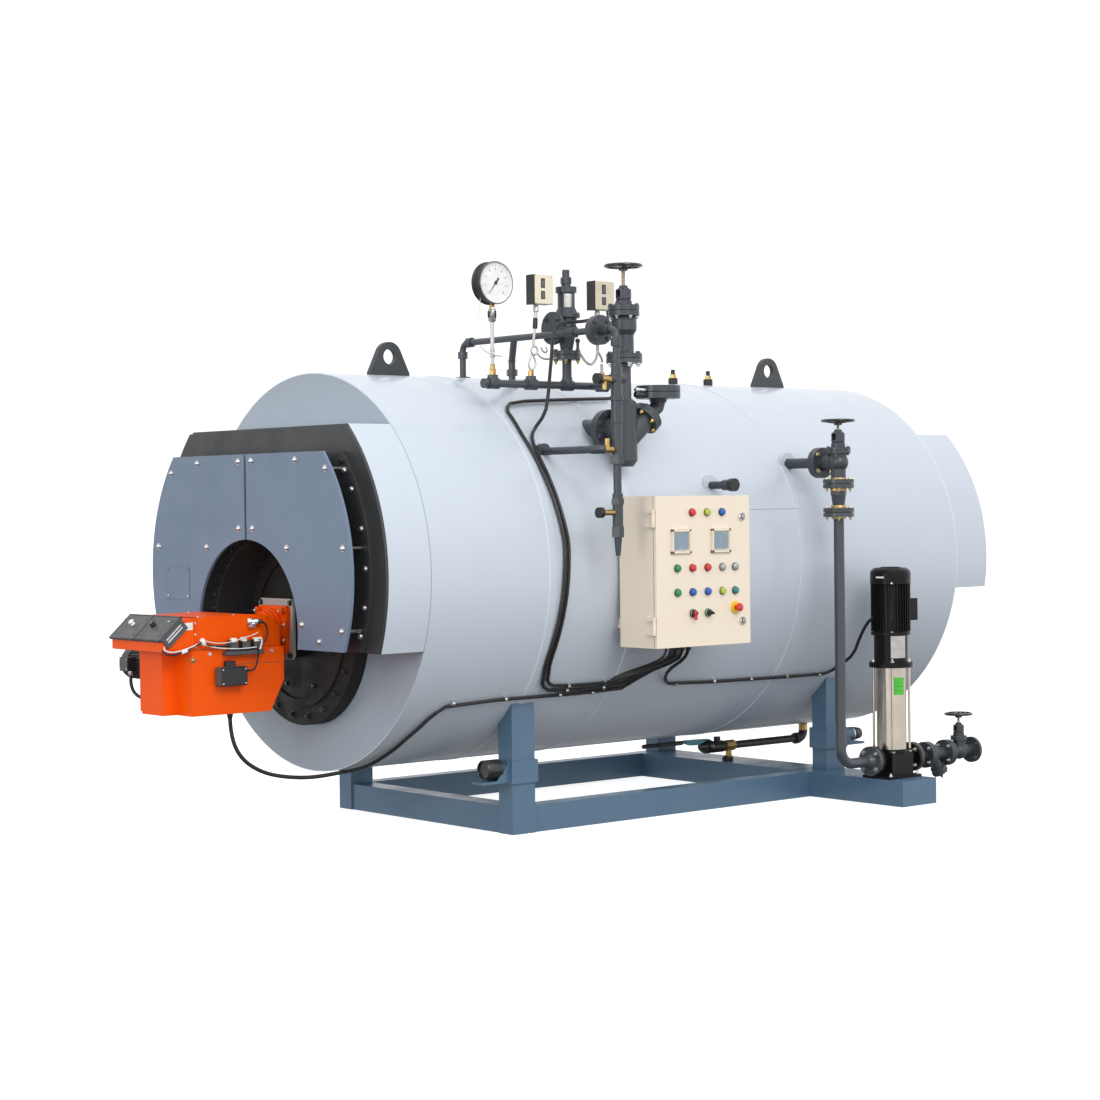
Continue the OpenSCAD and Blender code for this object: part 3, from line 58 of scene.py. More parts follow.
PUMP_X, PUMP_Y, PUMP_PIPE_Z = 2.21, *MOUNT["suction_bore"][1:]
INSTRUMENT_Y, TEE_Z = -0.7, 2.291
PANEL_X, PANEL_BACK, PANEL_FACE, PANEL_Z = 0.417, -1.268, -1.29, 0.926


def add_object(name, data):
    ob = bpy.data.objects.new(name, data)
    bpy.context.scene.collection.objects.link(ob)
    return ob


# Camera, fitted to straight and round edges of the photo
def camera():
    yaw, pitch, roll = math.radians(49.873), math.radians(-1.1506), math.radians(-0.6971)
    ahead = Vector((math.cos(yaw) * math.cos(pitch), math.sin(yaw) * math.cos(pitch), math.sin(pitch)))
    right = Vector((math.sin(yaw), -math.cos(yaw), 0))
    up = right.cross(ahead)
    cam = bpy.data.cameras.new("photo_camera")
    cam.lens = 76.343
    cam.sensor_width = 36
    cam.sensor_fit = "HORIZONTAL"
    cam.clip_end = 200
    ob = add_object("photo_camera", cam)
    m = Matrix((right * math.cos(roll) + up * math.sin(roll), -right * math.sin(roll) + up * math.cos(roll),
                -ahead)).transposed().to_4x4()
    m.translation = Vector((-7.38461, -9.73581, 1.65144))
    ob.matrix_world = m
    bpy.context.scene.camera = ob


camera()


# Material kit
def put(tree, socket, v):
    if isinstance(v, bpy.types.NodeSocket):
        tree.links.new(v, socket)
    else:
        socket.default_value = v


def add_node(tree, kind, out, inputs=(), **settings):
    """Adds a shader node with its settings and inputs, and gives one of its outputs."""
    n = tree.nodes.new("ShaderNode" + kind)
    for k, v in settings.items():
        setattr(n, k, v)
    for k, v in dict(inputs).items():
        put(tree, n.inputs[k], v)
    return n.outputs[out]


def smooth_range(tree, value, lo, hi, a, b):
    return add_node(tree, "MapRange", "Result", {"Value": value, "From Min": lo, "From Max": hi, "To Min": a,
                                                 "To Max": b}, interpolation_type="SMOOTHSTEP")


class Mat:
    """A node material with short helpers, in object coordinates."""

    def __init__(self, name, color, rough=0.5, metal=0.0, spec=0.5, coat=0.0, coat_rough=0.1):
        self.m = bpy.data.materials.new(name)
        self.m.use_nodes = True
        self.t = self.m.node_tree
        self.color = (*color, 1)
        self.set("Metallic", metal)
        self.set("Roughness", rough)
        self.set("Specular IOR Level", spec)
        self.set("Coat Weight", coat)
        self.set("Coat Roughness", coat_rough)
        self.set("Base Color", self.color)
        self.co = self.add("TexCoord", "Object")
        self.col = self.rgh = self.nrm = None

    def set(self, socket, v):
        put(self.t, self.t.nodes["Principled BSDF"].inputs[socket], v)

    def add(self, kind, out, inputs=(), **settings):
        return add_node(self.t, kind, out, inputs, **settings)

    def math(self, op, a, b=0.0, c=0.0):
        return self.add("Math", 0, {0: a, 1: b, 2: c}, operation=op)

    def times(self, a, *rest):
        for b in rest:
            a = self.math("MULTIPLY", a, b)
        return a

    def minus(self, a, b):
        return self.math("SUBTRACT", a, b)

    def less(self, a, b):
        return self.math("LESS_THAN", a, b)

    def more(self, a, b):
        return self.math("GREATER_THAN", a, b)

    def near(self, a, place, reach):
        return self.math("COMPARE", a, place, reach)

    def hypot(self, a, b):
        return self.math("SQRT", self.math("ADD", self.times(a, a), self.times(b, b)))

    def axis(self, k):
        return self.add("SeparateXYZ", k, {0: self.co})

    def noise(self, scale, detail=4.0, rough=0.6, vec=None):
        return self.add("TexNoise", "Fac", {"Vector": vec or self.co, "Scale": scale, "Detail": detail,
                                            "Roughness": rough})

    def ramp(self, fac, lo, hi, a=0.0, b=1.0):
        return smooth_range(self.t, fac, lo, hi, a, b)

    def blend(self, fac, a, b):
        return self.add("Mix", "Result", {"Factor": fac, "A": a, "B": b}, data_type="RGBA")

    def tone(self, fac, color):
        """Mixes a colour in where fac is high."""
        self.col = self.blend(fac, self.col or self.color, (*color, 1))
        return self

    def vary(self, scale, amount):
        """Lighter and darker clouds over the surface."""
        dark = tuple(c * (1 - amount) for c in self.color[:3])
        return self.tone(self.ramp(self.noise(scale), 0.35, 0.7, 1.0, 0.0), dark)

    def gloss(self, scale, lo, hi):
        self.rgh = self.ramp(self.noise(scale, 5), 0.3, 0.7, lo, hi)
        return self

    def bump(self, height, dist, strength=1.0):
        inputs = {"Strength": strength, "Distance": dist, "Height": height}
        if self.nrm is not None:
            inputs["Normal"] = self.nrm
        self.nrm = self.add("Bump", 0, inputs)
        return self

    def waves(self, scale, dist):
        """The slight waves of rolled sheet."""
        return self.bump(self.noise(scale, 2), dist, 0.3)

    def bevel(self, radius):
        return self.add("Bevel", 0, {"Radius": radius}, samples=4)

    def soft_edges(self, radius):
        self.nrm = self.bevel(radius)
        return self

    def edge(self, radius, color, amount):
        """Worn or bright edges, from the angle between the true and the rounded normal."""
        turn = self.add("VectorMath", "Value", {0: self.bevel(radius), 1: self.add("NewGeometry", "Normal")},
                        operation="DOT_PRODUCT")
        worn = self.ramp(turn, 0.75, 0.98, amount, 0.0)
        return self.tone(self.times(worn, self.ramp(self.noise(40), 0.35, 0.6)), color)

    def dust(self, color, amount, scale=3.0):
        """Pale dust on faces that look up."""
        up = self.add("SeparateXYZ", 2, {0: self.add("NewGeometry", "Normal")})
        up = self.ramp(up, 0.3, 1.0, 0.0, amount)
        return self.tone(self.times(up, self.ramp(self.noise(scale, 6), 0.3, 0.75)), color)

    def zones(self, zones):
        """Other finishes on parts of a casting: tests are (axis, low, high) ranges."""
        shine = None
        for tests, color, metallic, rough in zones:
            f = 1.0
            for k, lo, hi in tests:
                a = self.axis(k)
                f = self.times(f, self.times(self.more(a, lo), self.less(a, hi)))
            self.tone(f, color)
            self.rgh = self.blend(f, self.rgh, (rough, rough, rough, 1))
            part = self.times(f, metallic)
            shine = part if shine is None else self.math("ADD", shine, part)
        self.set("Metallic", shine)
        return self

    def done(self):
        for socket, v in (("Base Color", self.col), ("Roughness", self.rgh), ("Normal", self.nrm)):
            if v is not None:
                self.set(socket, v)
        return self.m


def paint(name, color, rough=0.35, coat=0.3, edges=0.002, peel=0.00015, cloud=0.12, spec=0.5, dust=None):
    m = Mat(name, color, rough=rough, coat=coat, coat_rough=0.12, spec=spec)
    m.soft_edges(edges).vary(1.6, cloud).vary(14, cloud * 0.5)
    if dust:
        m.dust(dust, 0.35)
    return m.gloss(6, rough * 0.8, rough * 1.25).bump(m.noise(220, 2), peel)


def cast(name, color, rough=0.5, bump=0.0006, coat=0.0):
    m = Mat(name, color, rough=rough, coat=coat)
    m.soft_edges(0.0018).vary(9, 0.25).vary(60, 0.15)
    m.edge(0.003, tuple(min(1, c * 2.6 + 0.03) for c in color), 0.55).dust((0.2, 0.2, 0.2), 0.25, 12)
    return m.gloss(18, rough * 0.8, rough * 1.3).bump(m.noise(160, 5, 0.7), bump)


def metal(name, color, rough):
    m = Mat(name, color, rough=rough, metal=1.0)
    return m.vary(30, 0.2).gloss(45, rough * 0.75, rough * 1.4).bump(m.noise(240, 3), 0.00008)


def brushed_metal(name, color, rough, grain):
    """Metal with its brush marks drawn out along one axis."""
    m = Mat(name, color, rough=rough, metal=1.0).vary(3, 0.2)
    marks = m.noise(1.0, 3, vec=m.add("Mapping", 0, {"Vector": m.co, "Scale": grain}))
    m.rgh = m.ramp(marks, 0.3, 0.7, rough * 0.75, rough * 1.5)
    return m.bump(marks, 0.00008)


def smooth(name, color, rough, clouds, grain, gloss, edges=None, **finish):
    """Plastic, rubber or lacquer: (scale, amount) clouds, (scale, detail, height) grain, then gloss."""
    m = Mat(name, color, rough=rough, **finish)
    if edges:
        m.soft_edges(edges)
    return m.vary(*clouds).bump(m.noise(*grain[:2]), grain[2]).gloss(*gloss)


def plastic(name, color, rough=0.25):
    return smooth(name, color, rough, (30, 0.12), (700, 2, 0.0001), (40, rough * 0.85, rough * 1.2), coat=0.3)


# Colours that more than one finish takes
CLAD, BLACK, BRASS = (0.505, 0.558, 0.625), (0.012, 0.012, 0.013), (0.56, 0.38, 0.15)
SLATE, PLATE_BLACK = (0.042, 0.05, 0.06), (0.035, 0.036, 0.038)


# Finishes that change over a node
def cladding():
    """Gloss sheet with a painted highlight line and a painted shade line at each raised seam, a painted
    highlight line at the shell's rear end, and a dark lap line beside the feed valve.
    """
    m = paint("cladding_paint_gloss", CLAD, 0.36, 0.35, cloud=0.03, peel=0.00006).waves(0.9, 0.008)
    x = m.axis(0)
    # Painted highlight: a pale line along one edge of each raised seam and at the shell's rear end, where
    # those edges catch the light
    for place in [s - 0.0235 for s in SEAMS] + [SHELL_END - 0.0045]:
        m.tone(m.times(m.near(x, place, 0.003), 0.45), (0.82, 0.87, 0.93))
    # Painted shade: a darker grey line along the other edge of each raised seam
    for seam in SEAMS:
        m.tone(m.times(m.near(x, seam + 0.0255, 0.002), 0.4), (0.22, 0.26, 0.32))
    lap = m.times(m.near(m.axis(2), 1.605, 0.0016), m.near(x, 1.5885, 0.1825), m.less(m.axis(1), 0.0))
    return m.tone(lap, (0.2, 0.24, 0.3))


def panel_inside():
    """Cream paint, with mounting plate, rails and trunking on the face behind the door."""
    m = paint("panel_box_finishes", (0.76, 0.665, 0.545), 0.42, 0.1, cloud=0.03, edges=0.003)
    face = m.near(m.axis(1), PANEL_BACK, 0.0006)
    x, z = m.axis(0), m.axis(2)
    ax = m.math("ABSOLUTE", m.minus(x, 0.742))
    az = m.math("ABSOLUTE", m.minus(z, 1.303))
    rim = m.math("MAXIMUM", m.minus(ax, 0.29), m.minus(az, 0.342))
    m.tone(m.times(face, m.less(rim, 0.0)), (0.66, 0.66, 0.64))
    m.tone(m.times(face, m.near(rim, 0.0, 0.0014)), (0.1, 0.1, 0.1))
    for row, tall, pitch, tint in ((1.53, 0.024, 0.018, (0.5, 0.5, 0.5)),
                                   (1.39, 0.03, 0.045, (0.06, 0.06, 0.065)),
                                   (1.25, 0.03, 0.045, (0.06, 0.06, 0.065)),
                                   (1.08, 0.016, 0.008, (0.35, 0.36, 0.34))):
        rail = m.times(face, m.less(ax, 0.234), m.near(z, row, tall))
        m.tone(rail, (0.012, 0.012, 0.012))
        step = m.math("FRACT", m.math("DIVIDE", m.minus(x, 0.508), pitch))
        cell = m.times(rail, m.near(step, 0.5, 0.44), m.near(z, row, tall - 0.003))
        m.tone(cell, tint).tone(m.times(cell, m.near(z, row, tall * 0.3)), (0.02, 0.02, 0.022))
    return m


def cocks():
    """Brass with black knobs. The knob of the lowest cock starts 6 mm further back."""
    m = metal("cock_brass_and_black", BRASS, 0.36)
    knob = m.less(m.math("ADD", m.axis(0), m.times(m.less(m.axis(2), 1.8), -0.006)), 0.1275)
    m.tone(knob, BLACK).set("Metallic", m.minus(1.0, knob))
    return m


def nozzle_set():
    on_top = (1, -0.2, 0.2)
    return cast("nozzle_finishes", SLATE, 0.42).zones([
        ([(1, -0.9161, -0.5), (2, 1.6, 1.9)], CLAD, 0.0, 0.38), ([(1, -1.2, -1.0635)], BLACK, 0.0, 0.35),
        ([on_top, (2, 2.0, 2.3555)], BLACK, 0.0, 0.35), ([on_top, (2, 2.3555, 2.3765)], BRASS, 1.0, 0.34),
        ([on_top, (2, 2.3765, 2.6)], BLACK, 0.0, 0.3)])


def jacket():
    """The smokebox: clad on its skin, black on its front edge, with a dark line at the band's end."""
    m = paint("jacket_finishes", PLATE_BLACK, 0.4, 0.25, cloud=0.05, peel=0.00006)
    dz = m.minus(m.axis(2), AXIS_Z)
    flat = m.math("MAXIMUM", m.more(dz, 0.7205), m.less(dz, -0.3595))
    skin = m.math("MAXIMUM", m.more(m.hypot(m.axis(1), dz), 0.985), flat)
    m.tone(m.times(skin, m.more(m.axis(0), -0.9995)), CLAD)
    return m.tone(m.times(m.near(m.axis(0), -0.7525, 0.0022), 0.7), (0.16, 0.19, 0.23))


def wheel_and_stem(name, x, y, r, z_top):
    """The wheel's black paint, with a bare bronze stem below its hub."""
    m = Mat(name, BLACK, rough=0.22, coat=0.6).soft_edges(0.002)
    d = m.hypot(m.minus(m.axis(0), x), m.minus(m.axis(1), y))
    stem = m.times(m.less(d, r), m.less(m.axis(2), z_top))
    m.vary(40, 0.3).tone(stem, (0.6, 0.48, 0.36)).set("Metallic", stem)
    m.bump(m.times(m.math("SINE", m.times(m.axis(2), TAU / 0.003)), stem), 0.0004)
    m.rgh = m.blend(stem, m.ramp(m.noise(20), 0.3, 0.7, 0.16, 0.28), (0.3, 0.3, 0.3, 1))
    return m.done()


MATS = {
    "cladding": cladding(),
    "end_plate": paint("end_plate_satin", (0.325, 0.373, 0.432), 0.42, 0.15, cloud=0.05).waves(1.0, 0.006),
    "cover": paint("cover_plate_satin", (0.145, 0.2, 0.288), 0.42, 0.1, cloud=0.06).waves(1.4, 0.004),
    "jacket": jacket(),
    "black_plate": paint("black_plate_paint", PLATE_BLACK, 0.42, 0.1, cloud=0.25, dust=(0.12, 0.12, 0.12)),
    "furnace": paint("furnace_heat_black", (0.014, 0.0125, 0.0115), 0.62, 0.0, cloud=0.35, peel=0.0003),
    "skid": paint("skid_paint_blue", (0.076, 0.15, 0.235), 0.42, 0.15, edges=0.003).edge(
        0.006, (0.2, 0.3, 0.4), 0.35),
    "orange": paint("burner_paint_orange", (0.88, 0.092, 0.0), 0.36, 0.0, cloud=0.07, edges=0.004, spec=0.14),
    "lid": smooth("burner_lid_grey", (0.085, 0.085, 0.09), 0.45, (8, 0.2), (900, 2, 0.0003), (12, 0.38, 0.55),
                  0.002),
    "burner_plate": cast("burner_plate_grey", (0.42, 0.41, 0.385), 0.45),
    "slate": cast("valve_slate_paint", SLATE, 0.42, coat=0.15),
    "slate_pipe": paint("pipe_slate_paint", (0.05, 0.06, 0.072), 0.38, 0.2, cloud=0.15),
    "iron": cast("black_iron_paint", BLACK, 0.3, coat=0.4, bump=0.0002),
    "lug": cast("lug_dark_paint", (0.05, 0.055, 0.06), 0.45),
    "nozzle_set": nozzle_set(),
    "feed_pad": cast("feed_nozzle_finishes", SLATE, 0.42).zones([([(1, -0.8539, -0.5)], CLAD, 0.0, 0.38)]),
    "drain": cast("drain_finishes", (0.02, 0.021, 0.023), 0.4).zones([
        ([(0, 2.13, 2.206)], BRASS, 1.0, 0.4), ([(0, 2.7, 2.9), (2, 0.272, 0.306)], BRASS, 1.0, 0.4)]),
    "cocks": cocks(),
    "panel": paint("panel_cream_paint", (0.79, 0.69, 0.56), 0.42, 0.1, cloud=0.03, edges=0.003),
    "panel_inside": panel_inside(),
    "yellow_zinc": metal("zinc_yellow_plated", (0.72, 0.63, 0.42), 0.3),
    "zinc": metal("zinc_bright", (0.78, 0.78, 0.8), 0.22),
    "steel": metal("steel_satin", (0.56, 0.55, 0.53), 0.3),
    "sleeve": brushed_metal("sleeve_brushed_steel", (0.66, 0.585, 0.5), 0.22, (260, 260, 1.5)),
    "brass": metal("brass_satin", BRASS, 0.36),
    "pump_black": smooth("motor_black_paint", (0.008, 0.008, 0.0085), 0.3, (7, 0.25), (220, 2, 0.0002),
                         (9, 0.2, 0.34), 0.0015, spec=0.16, coat=0.05),
    "cable": smooth("cable_black_rubber", (0.014, 0.014, 0.015), 0.42, (20, 0.3), (500, 2, 0.0002),
                    (30, 0.36, 0.55)),
    "plastic": smooth("black_plastic", (0.02, 0.02, 0.022), 0.4, (15, 0.2), (1200, 2, 0.0002),
                      (20, 0.33, 0.5), 0.001),
    "cream": smooth("cream_plastic", (0.78, 0.7, 0.54), 0.45, (10, 0.06), (900, 2, 0.0002), (20, 0.4, 0.55),
                    0.002),
    "pale_tube": smooth("pale_tube", (0.62, 0.6, 0.57), 0.3, (25, 0.15), (300, 3, 0.0002), (30, 0.25, 0.45),
                        metal=0.35),
    "white_wire": smooth("white_wire", (0.75, 0.74, 0.72), 0.4, (60, 0.12), (900, 2, 0.0001),
                         (40, 0.35, 0.5)),
    "lamp_silver_cap": metal("cap_silver", (0.5, 0.52, 0.53), 0.35),
}
# The ring_ colours of the lamps (red, green, blue, lime, teal, silver_cap) are darker copies of their lamp
# colours: painted shade for the shaded side of each bezel. ring_yellow is the stop button's own yellow.
for name, color, rough in (
        ("lamp_red", (0.62, 0.02, 0.02), 0.25), ("lamp_green", (0.01, 0.24, 0.06), 0.25),
        ("lamp_blue", (0.01, 0.09, 0.42), 0.25), ("lamp_lime", (0.42, 0.5, 0.06), 0.25),
        ("lamp_teal", (0.02, 0.22, 0.2), 0.25), ("ring_red", (0.16, 0.006, 0.008), 0.3),
        ("ring_green", (0.004, 0.055, 0.016), 0.3), ("ring_blue", (0.003, 0.03, 0.15), 0.3),
        ("ring_lime", (0.11, 0.13, 0.02), 0.3), ("ring_teal", (0.006, 0.07, 0.065), 0.3),
        ("ring_silver_cap", (0.12, 0.12, 0.12), 0.3), ("ring_yellow", (0.85, 0.55, 0.02), 0.35),
        ("button_grey", (0.2, 0.21, 0.23), 0.25), ("label_white", (0.82, 0.82, 0.8), 0.45),
        ("label_green", (0.06, 0.5, 0.02), 0.4), ("label_dark_green", (0.02, 0.25, 0.01), 0.4),
        ("screen_grey_blue", (0.22, 0.3, 0.36), 0.12), ("window_grey", (0.1, 0.105, 0.11), 0.15),
        ("valve_lever_teal", (0.03, 0.3, 0.33), 0.4), ("dial_ink_grey", (0.22, 0.22, 0.23), 0.5),
        ("bezel_grey", (0.55, 0.53, 0.5), 0.4), ("seal_rubber_brown", (0.11, 0.075, 0.05), 0.6)):
    MATS[name] = plastic(name, color, rough)
MATS = {key: m.done() for key, m in MATS.items()}

# Finishes of the CAD nodes, by material slot, apart from the nodes named below
SLOTS = {
    "skid_paint": "skid", "cladding_paint": "cladding", "end_plate_paint": "end_plate",
    "black_plate": "black_plate", "furnace_black": "furnace", "cover_paint": "cover", "stud_steel": "steel",
    "burner_plate_grey": "burner_plate", "burner_orange": "orange", "burner_dark": "lid",
    "valve_paint": "slate", "lug_paint": "lug", "panel_paint": "panel", "button_plastic": "button_grey",
    "wheel_black": "iron", "brass": "brass", "gauge_steel": "steel", "switch_plastic": "cream",
    "pump_black": "pump_black", "pump_steel": "sleeve", "cable_rubber": "cable",
}
OWN = {
    "front_smokebox": "jacket", "shell_nozzles": "nozzle_set", "feed_nozzle": "feed_pad",
    "panel_box": "panel_inside", "brass_cocks": "cocks", "drain_line": "drain", "column_pipe": "slate_pipe",
    "balance_pipe": "slate_pipe", "instrument_pipe": "slate_pipe", "feed_pipe": "slate_pipe",
    "burner_fan_motor": "plastic", "burner_fittings": "plastic",
}


def dress(ob, material):
    if not ob.material_slots:
        ob.data.materials.append(material)
    for s in ob.material_slots:
        s.material = material


for row in RECORD["subparts"]:
    dress(NODE[row["node"]], MATS[OWN.get(row["node"], SLOTS[row["material_slot"]])])


# Mesh kit
def at(p, axis=UP, spin=0.0):
    """A place whose own Z points along an axis."""
    turn = Vector(UP).rotation_difference(Vector(axis).normalized()).to_matrix().to_4x4()
    return Matrix.Translation(Vector(p)) @ turn @ Matrix.Rotation(spin, 4, "Z")


def ring_of(count, r, start=None):
    """Places evenly round a circle: angle and both offsets, from half a step unless told otherwise."""
    start = TAU / (2 * count) if start is None else start
    for k in range(count):
        a = start + TAU * k / count
        yield a, r * math.cos(a), r * math.sin(a)


def curve(pts):
    """Rounds the corners of a listed course, twice over."""
    pts = [Vector(p) for p in pts]
    for _ in range(2):
        out = [pts[0]]
        for a, b in zip(pts, pts[1:]):
            out += [a * 0.75 + b * 0.25, a * 0.25 + b * 0.75]
        pts = out + [pts[-1]]
    return pts


def corner(a, s, u, w):
    """One corner of a cube: s along axis a, then u and w along the next two."""
    k = [0, 0, 0]
    k[a], k[(a + 1) % 3], k[(a + 2) % 3] = s, u, w
    return tuple(k)


class Piece:
    """One object of the scene, drawn bit by bit in the materials named."""

    def __init__(self, name, slot, body="boiler", replaces=()):
        self.name, self.slot, self.body, self.rep = name, slot, body, replaces
        self.v, self.f, self.k, self.mats = [], [], [], []

    def raw(self, verts, faces, mat, M=None):
        if mat not in self.mats:
            self.mats.append(mat)
        n = len(self.v)
        self.v += [M @ Vector(p) if M else Vector(p) for p in verts]
        self.f += [[i + n for i in f] for f in faces]
        self.k += [self.mats.index(mat)] * len(faces)
        return self

    def lathe(self, profile, mat, M, n=32, caps=True):
        """profile is (radius, height) pairs; caps closes its first and last rings."""
        verts, rings = [], []
        for r, h in profile:
            count = 1 if r < 1e-6 else n
            rings.append(range(len(verts), len(verts) + count))
            verts += [(r * math.cos(TAU * i / n), r * math.sin(TAU * i / n), h) for i in range(count)]
        faces = [list(rings[0])[::-1]] if caps and len(rings[0]) > 1 else []
        for a, b in zip(rings, rings[1:]):
            for i in range(n):
                j = (i + 1) % n
                if len(a) > 1 and len(b) > 1:
                    faces.append([a[i], a[j], b[j], b[i]])
                elif len(a) > 1:
                    faces.append([a[i], a[j], b[0]])
                elif len(b) > 1:
                    faces.append([a[0], b[j], b[i]])
        if caps and len(rings[-1]) > 1:
            faces.append(list(rings[-1]))
        return self.raw(verts, faces, mat, M)

    def disc(self, r, h, mat, M, n=32, c=0.001):
        """A round or n-sided block with chamfered rims."""
        c = min(c, r * 0.4, h * 0.4)
        return self.lathe([(r - c, 0), (r, c), (r, h - c), (r - c, h)], mat, M, n)

    def ring(self, r, tube, mat, M, n=48, k=10):
        verts, faces = [], []
        for i, j in itertools.product(range(n), range(k)):
            a, b = TAU * i / n, TAU * j / k
            q = r + tube * math.cos(b)
            verts.append((q * math.cos(a), q * math.sin(a), tube * math.sin(b)))
            p, q = (i + 1) % n, (j + 1) % k
            faces.append([i * k + j, p * k + j, p * k + q, i * k + q])
        return self.raw(verts, faces, mat, M)

    def box(self, lo, hi, mat, M=None, c=0.0015):
        """A block with chamfered edges: each corner has three points, one along each axis."""
        c = min([c] + [(b - a) * 0.35 for a, b in zip(lo, hi)])
        verts, index = [], {}
        corners = list(itertools.product((0, 1), repeat=3))
        for s in corners:
            full = [b if side else a for side, a, b in zip(s, lo, hi)]
            for a in range(3):
                index[s, a] = len(verts)
                verts.append([p if i == a else p - c if s[i] else p + c for i, p in enumerate(full)])
        faces = []
        for a in range(3):
            b, d = (a + 1) % 3, (a + 2) % 3
            for s in (0, 1):
                side = [index[corner(a, s, u, w), a] for u, w in ((0, 0), (1, 0), (1, 1), (0, 1))]
                faces.append(side if s else side[::-1])
            for u, w in itertools.product((0, 1), repeat=2):
                k0, k1 = corner(a, 0, u, w), corner(a, 1, u, w)
                f = [index[k0, b], index[k1, b], index[k1, d], index[k0, d]]
                faces.append(f if u == w else f[::-1])
        for s in corners:
            f = [index[s, a] for a in range(3)]
            faces.append(f if sum(s) % 2 else f[::-1])
        return self.raw(verts, faces, mat, M)

    def prism(self, outline, h, mat, M):
        """A flat outline in X-Y, drawn up along Z by h."""
        n = len(outline)
        verts = [(x, y, 0) for x, y in outline] + [(x, y, h) for x, y in outline]
        faces = [list(range(n))[::-1], list(range(n, 2 * n))]
        faces += [[i, (i + 1) % n, n + (i + 1) % n, n + i] for i in range(n)]
        return self.raw(verts, faces, mat, M)

    def tube(self, pts, r, mat, n=8):
        pts = curve(pts)
        verts, faces = [], []
        u = (pts[1] - pts[0]).normalized().orthogonal().normalized()
        for i, p in enumerate(pts):
            t = (pts[min(i + 1, len(pts) - 1)] - pts[max(i - 1, 0)]).normalized()
            u = (u - t * u.dot(t)).normalized()
            w = t.cross(u)
            verts += [p + (u * math.cos(TAU * k / n) + w * math.sin(TAU * k / n)) * r for k in range(n)]
        last = (len(pts) - 1) * n
        for i, k in itertools.product(range(0, last, n), range(n)):
            q = (k + 1) % n
            faces.append([i + k, i + q, i + n + q, i + n + k])
        return self.raw(verts, faces + [list(range(n))[::-1], list(range(last, last + n))], mat)

    def hexbolt(self, p, axis, r, mat, h=None, washer=True, stub=0.0, spin=0.0):
        """A hexagon head or nut with its washer; r is half its width across corners."""
        M = at(p, axis, spin)
        h = h or r * 0.75
        z = r * 0.18 if washer else 0.0
        if washer:
            self.disc(r * 1.25, z, mat, M, 20, r * 0.05)
        self.lathe([(r, z), (r, z + h * 0.8), (r * 0.86, z + h)], mat, M, 6)
        if stub:
            top = z + h
            self.lathe([(r * 0.5, top), (r * 0.5, top + stub * 0.8), (r * 0.38, top + stub)], mat, M, 10)
        return self

    def dome(self, p, axis, r, mat, h, n=20):
        """A domed cap on a washer."""
        M = at(p, axis)
        self.disc(r * 1.35, r * 0.2, mat, M, n, r * 0.06)
        cap = [(r * math.cos(a), r * 0.35 + (h - r * 0.35) * math.sin(a)) for a in (0, 0.35, 0.7, 1.05, 1.35)]
        return self.lathe([(r, r * 0.2)] + cap + [(0, h)], mat, M, n)

    def done(self):
        me = bpy.data.meshes.new(self.name)
        me.from_pydata([tuple(p) for p in self.v], [], self.f)
        for k in self.mats:
            me.materials.append(MATS[k])
        me.polygons.foreach_set("material_index", self.k)
        me.polygons.foreach_set("use_smooth", [True] * len(self.f))
        me.update()
        me.set_sharp_from_angle(angle=math.radians(40))
        ob = add_object(self.name, me)
        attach(ob, self.body)
        if self.rep:
            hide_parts(*self.rep)
        return ob


def piece(name, slot, **rest):
    """Makes one piece of the scene with the function written below it."""
    def make(draw):
        part = Piece(name, slot, **rest)
        draw(part)
        return part.done()
    return make


# The hanging burner cable, on the course of the CAD model's cord
CABLE = [(-1.304, -0.100, 0.663), (-1.304, -0.100, 0.625), (-1.302, -0.102, 0.580),
         (-1.296, -0.105, 0.535), (-1.284, -0.110, 0.490), (-1.264, -0.116, 0.450),
         (-1.236, -0.124, 0.415), (-1.200, -0.133, 0.386), (-1.160, -0.142, 0.363),
         (-1.115, -0.152, 0.345), (-1.065, -0.163, 0.332), (-1.010, -0.174, 0.323),
         (-0.955, -0.184, 0.317), (-0.900, -0.194, 0.315), (-0.850, -0.204, 0.317),
         (-0.805, -0.213, 0.321), (-0.770, -0.221, 0.325), (-0.745, -0.226, 0.328),
         (-0.735, -0.228, 0.330), (-0.7223, -0.228, 0.330)]


def burner_cable():
    c = bpy.data.curves.new("burner_cable_hose", "CURVE")
    c.dimensions = "3D"
    c.bevel_depth = 0.01
    c.bevel_resolution = 5
    c.use_fill_caps = True
    s = c.splines.new("POLY")
    pts = curve(CABLE)
    s.points.add(len(pts) - 1)
    for q, p in zip(s.points, pts):
        q.co = (*p, 1)
    s.use_smooth = True
    c.materials.append(MATS["cable"])
    ob = add_object("burner_cable_hose", c)
    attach(ob, "boiler")
    gland = Piece("burner_cable_gland", "cable_rubber")
    M = at((-1.304, -0.1, 0.655))
    gland.disc(0.019, 0.008, "plastic", M, 6, 0.001)
    gland.lathe([(0.0105, -0.03), (0.013, -0.02), (0.016, -0.004), (0.016, 0.0)], "plastic", M, 20)
    gland = gland.done()
    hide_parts("burner_cable")


burner_cable()


# Bolts and plates round the front
@piece("front_bolting", "stud_steel")
def cover_and_door_nuts(part):
    for side in SIDES:
        for y, h in ((0.058, 0.557), (0.440, 0.555), (0.692, 0.510), (0.062, 0.227), (0.360, 0.133),
                     (0.827, 0.134), (0.482, -0.232), (0.626, -0.308), (0.811, -0.254)):
            part.dome((COVER_X, side * y, AXIS_Z + h), FRONT, 0.0125, "zinc", 0.013)
        for h in (0.5, 0.41, 0.224, 0.037, -0.146, -0.28):
            part.dome((DOOR_X, side * math.sqrt(0.86 ** 2 - h * h), AXIS_Z + h), FRONT, 0.012, "zinc", 0.012)


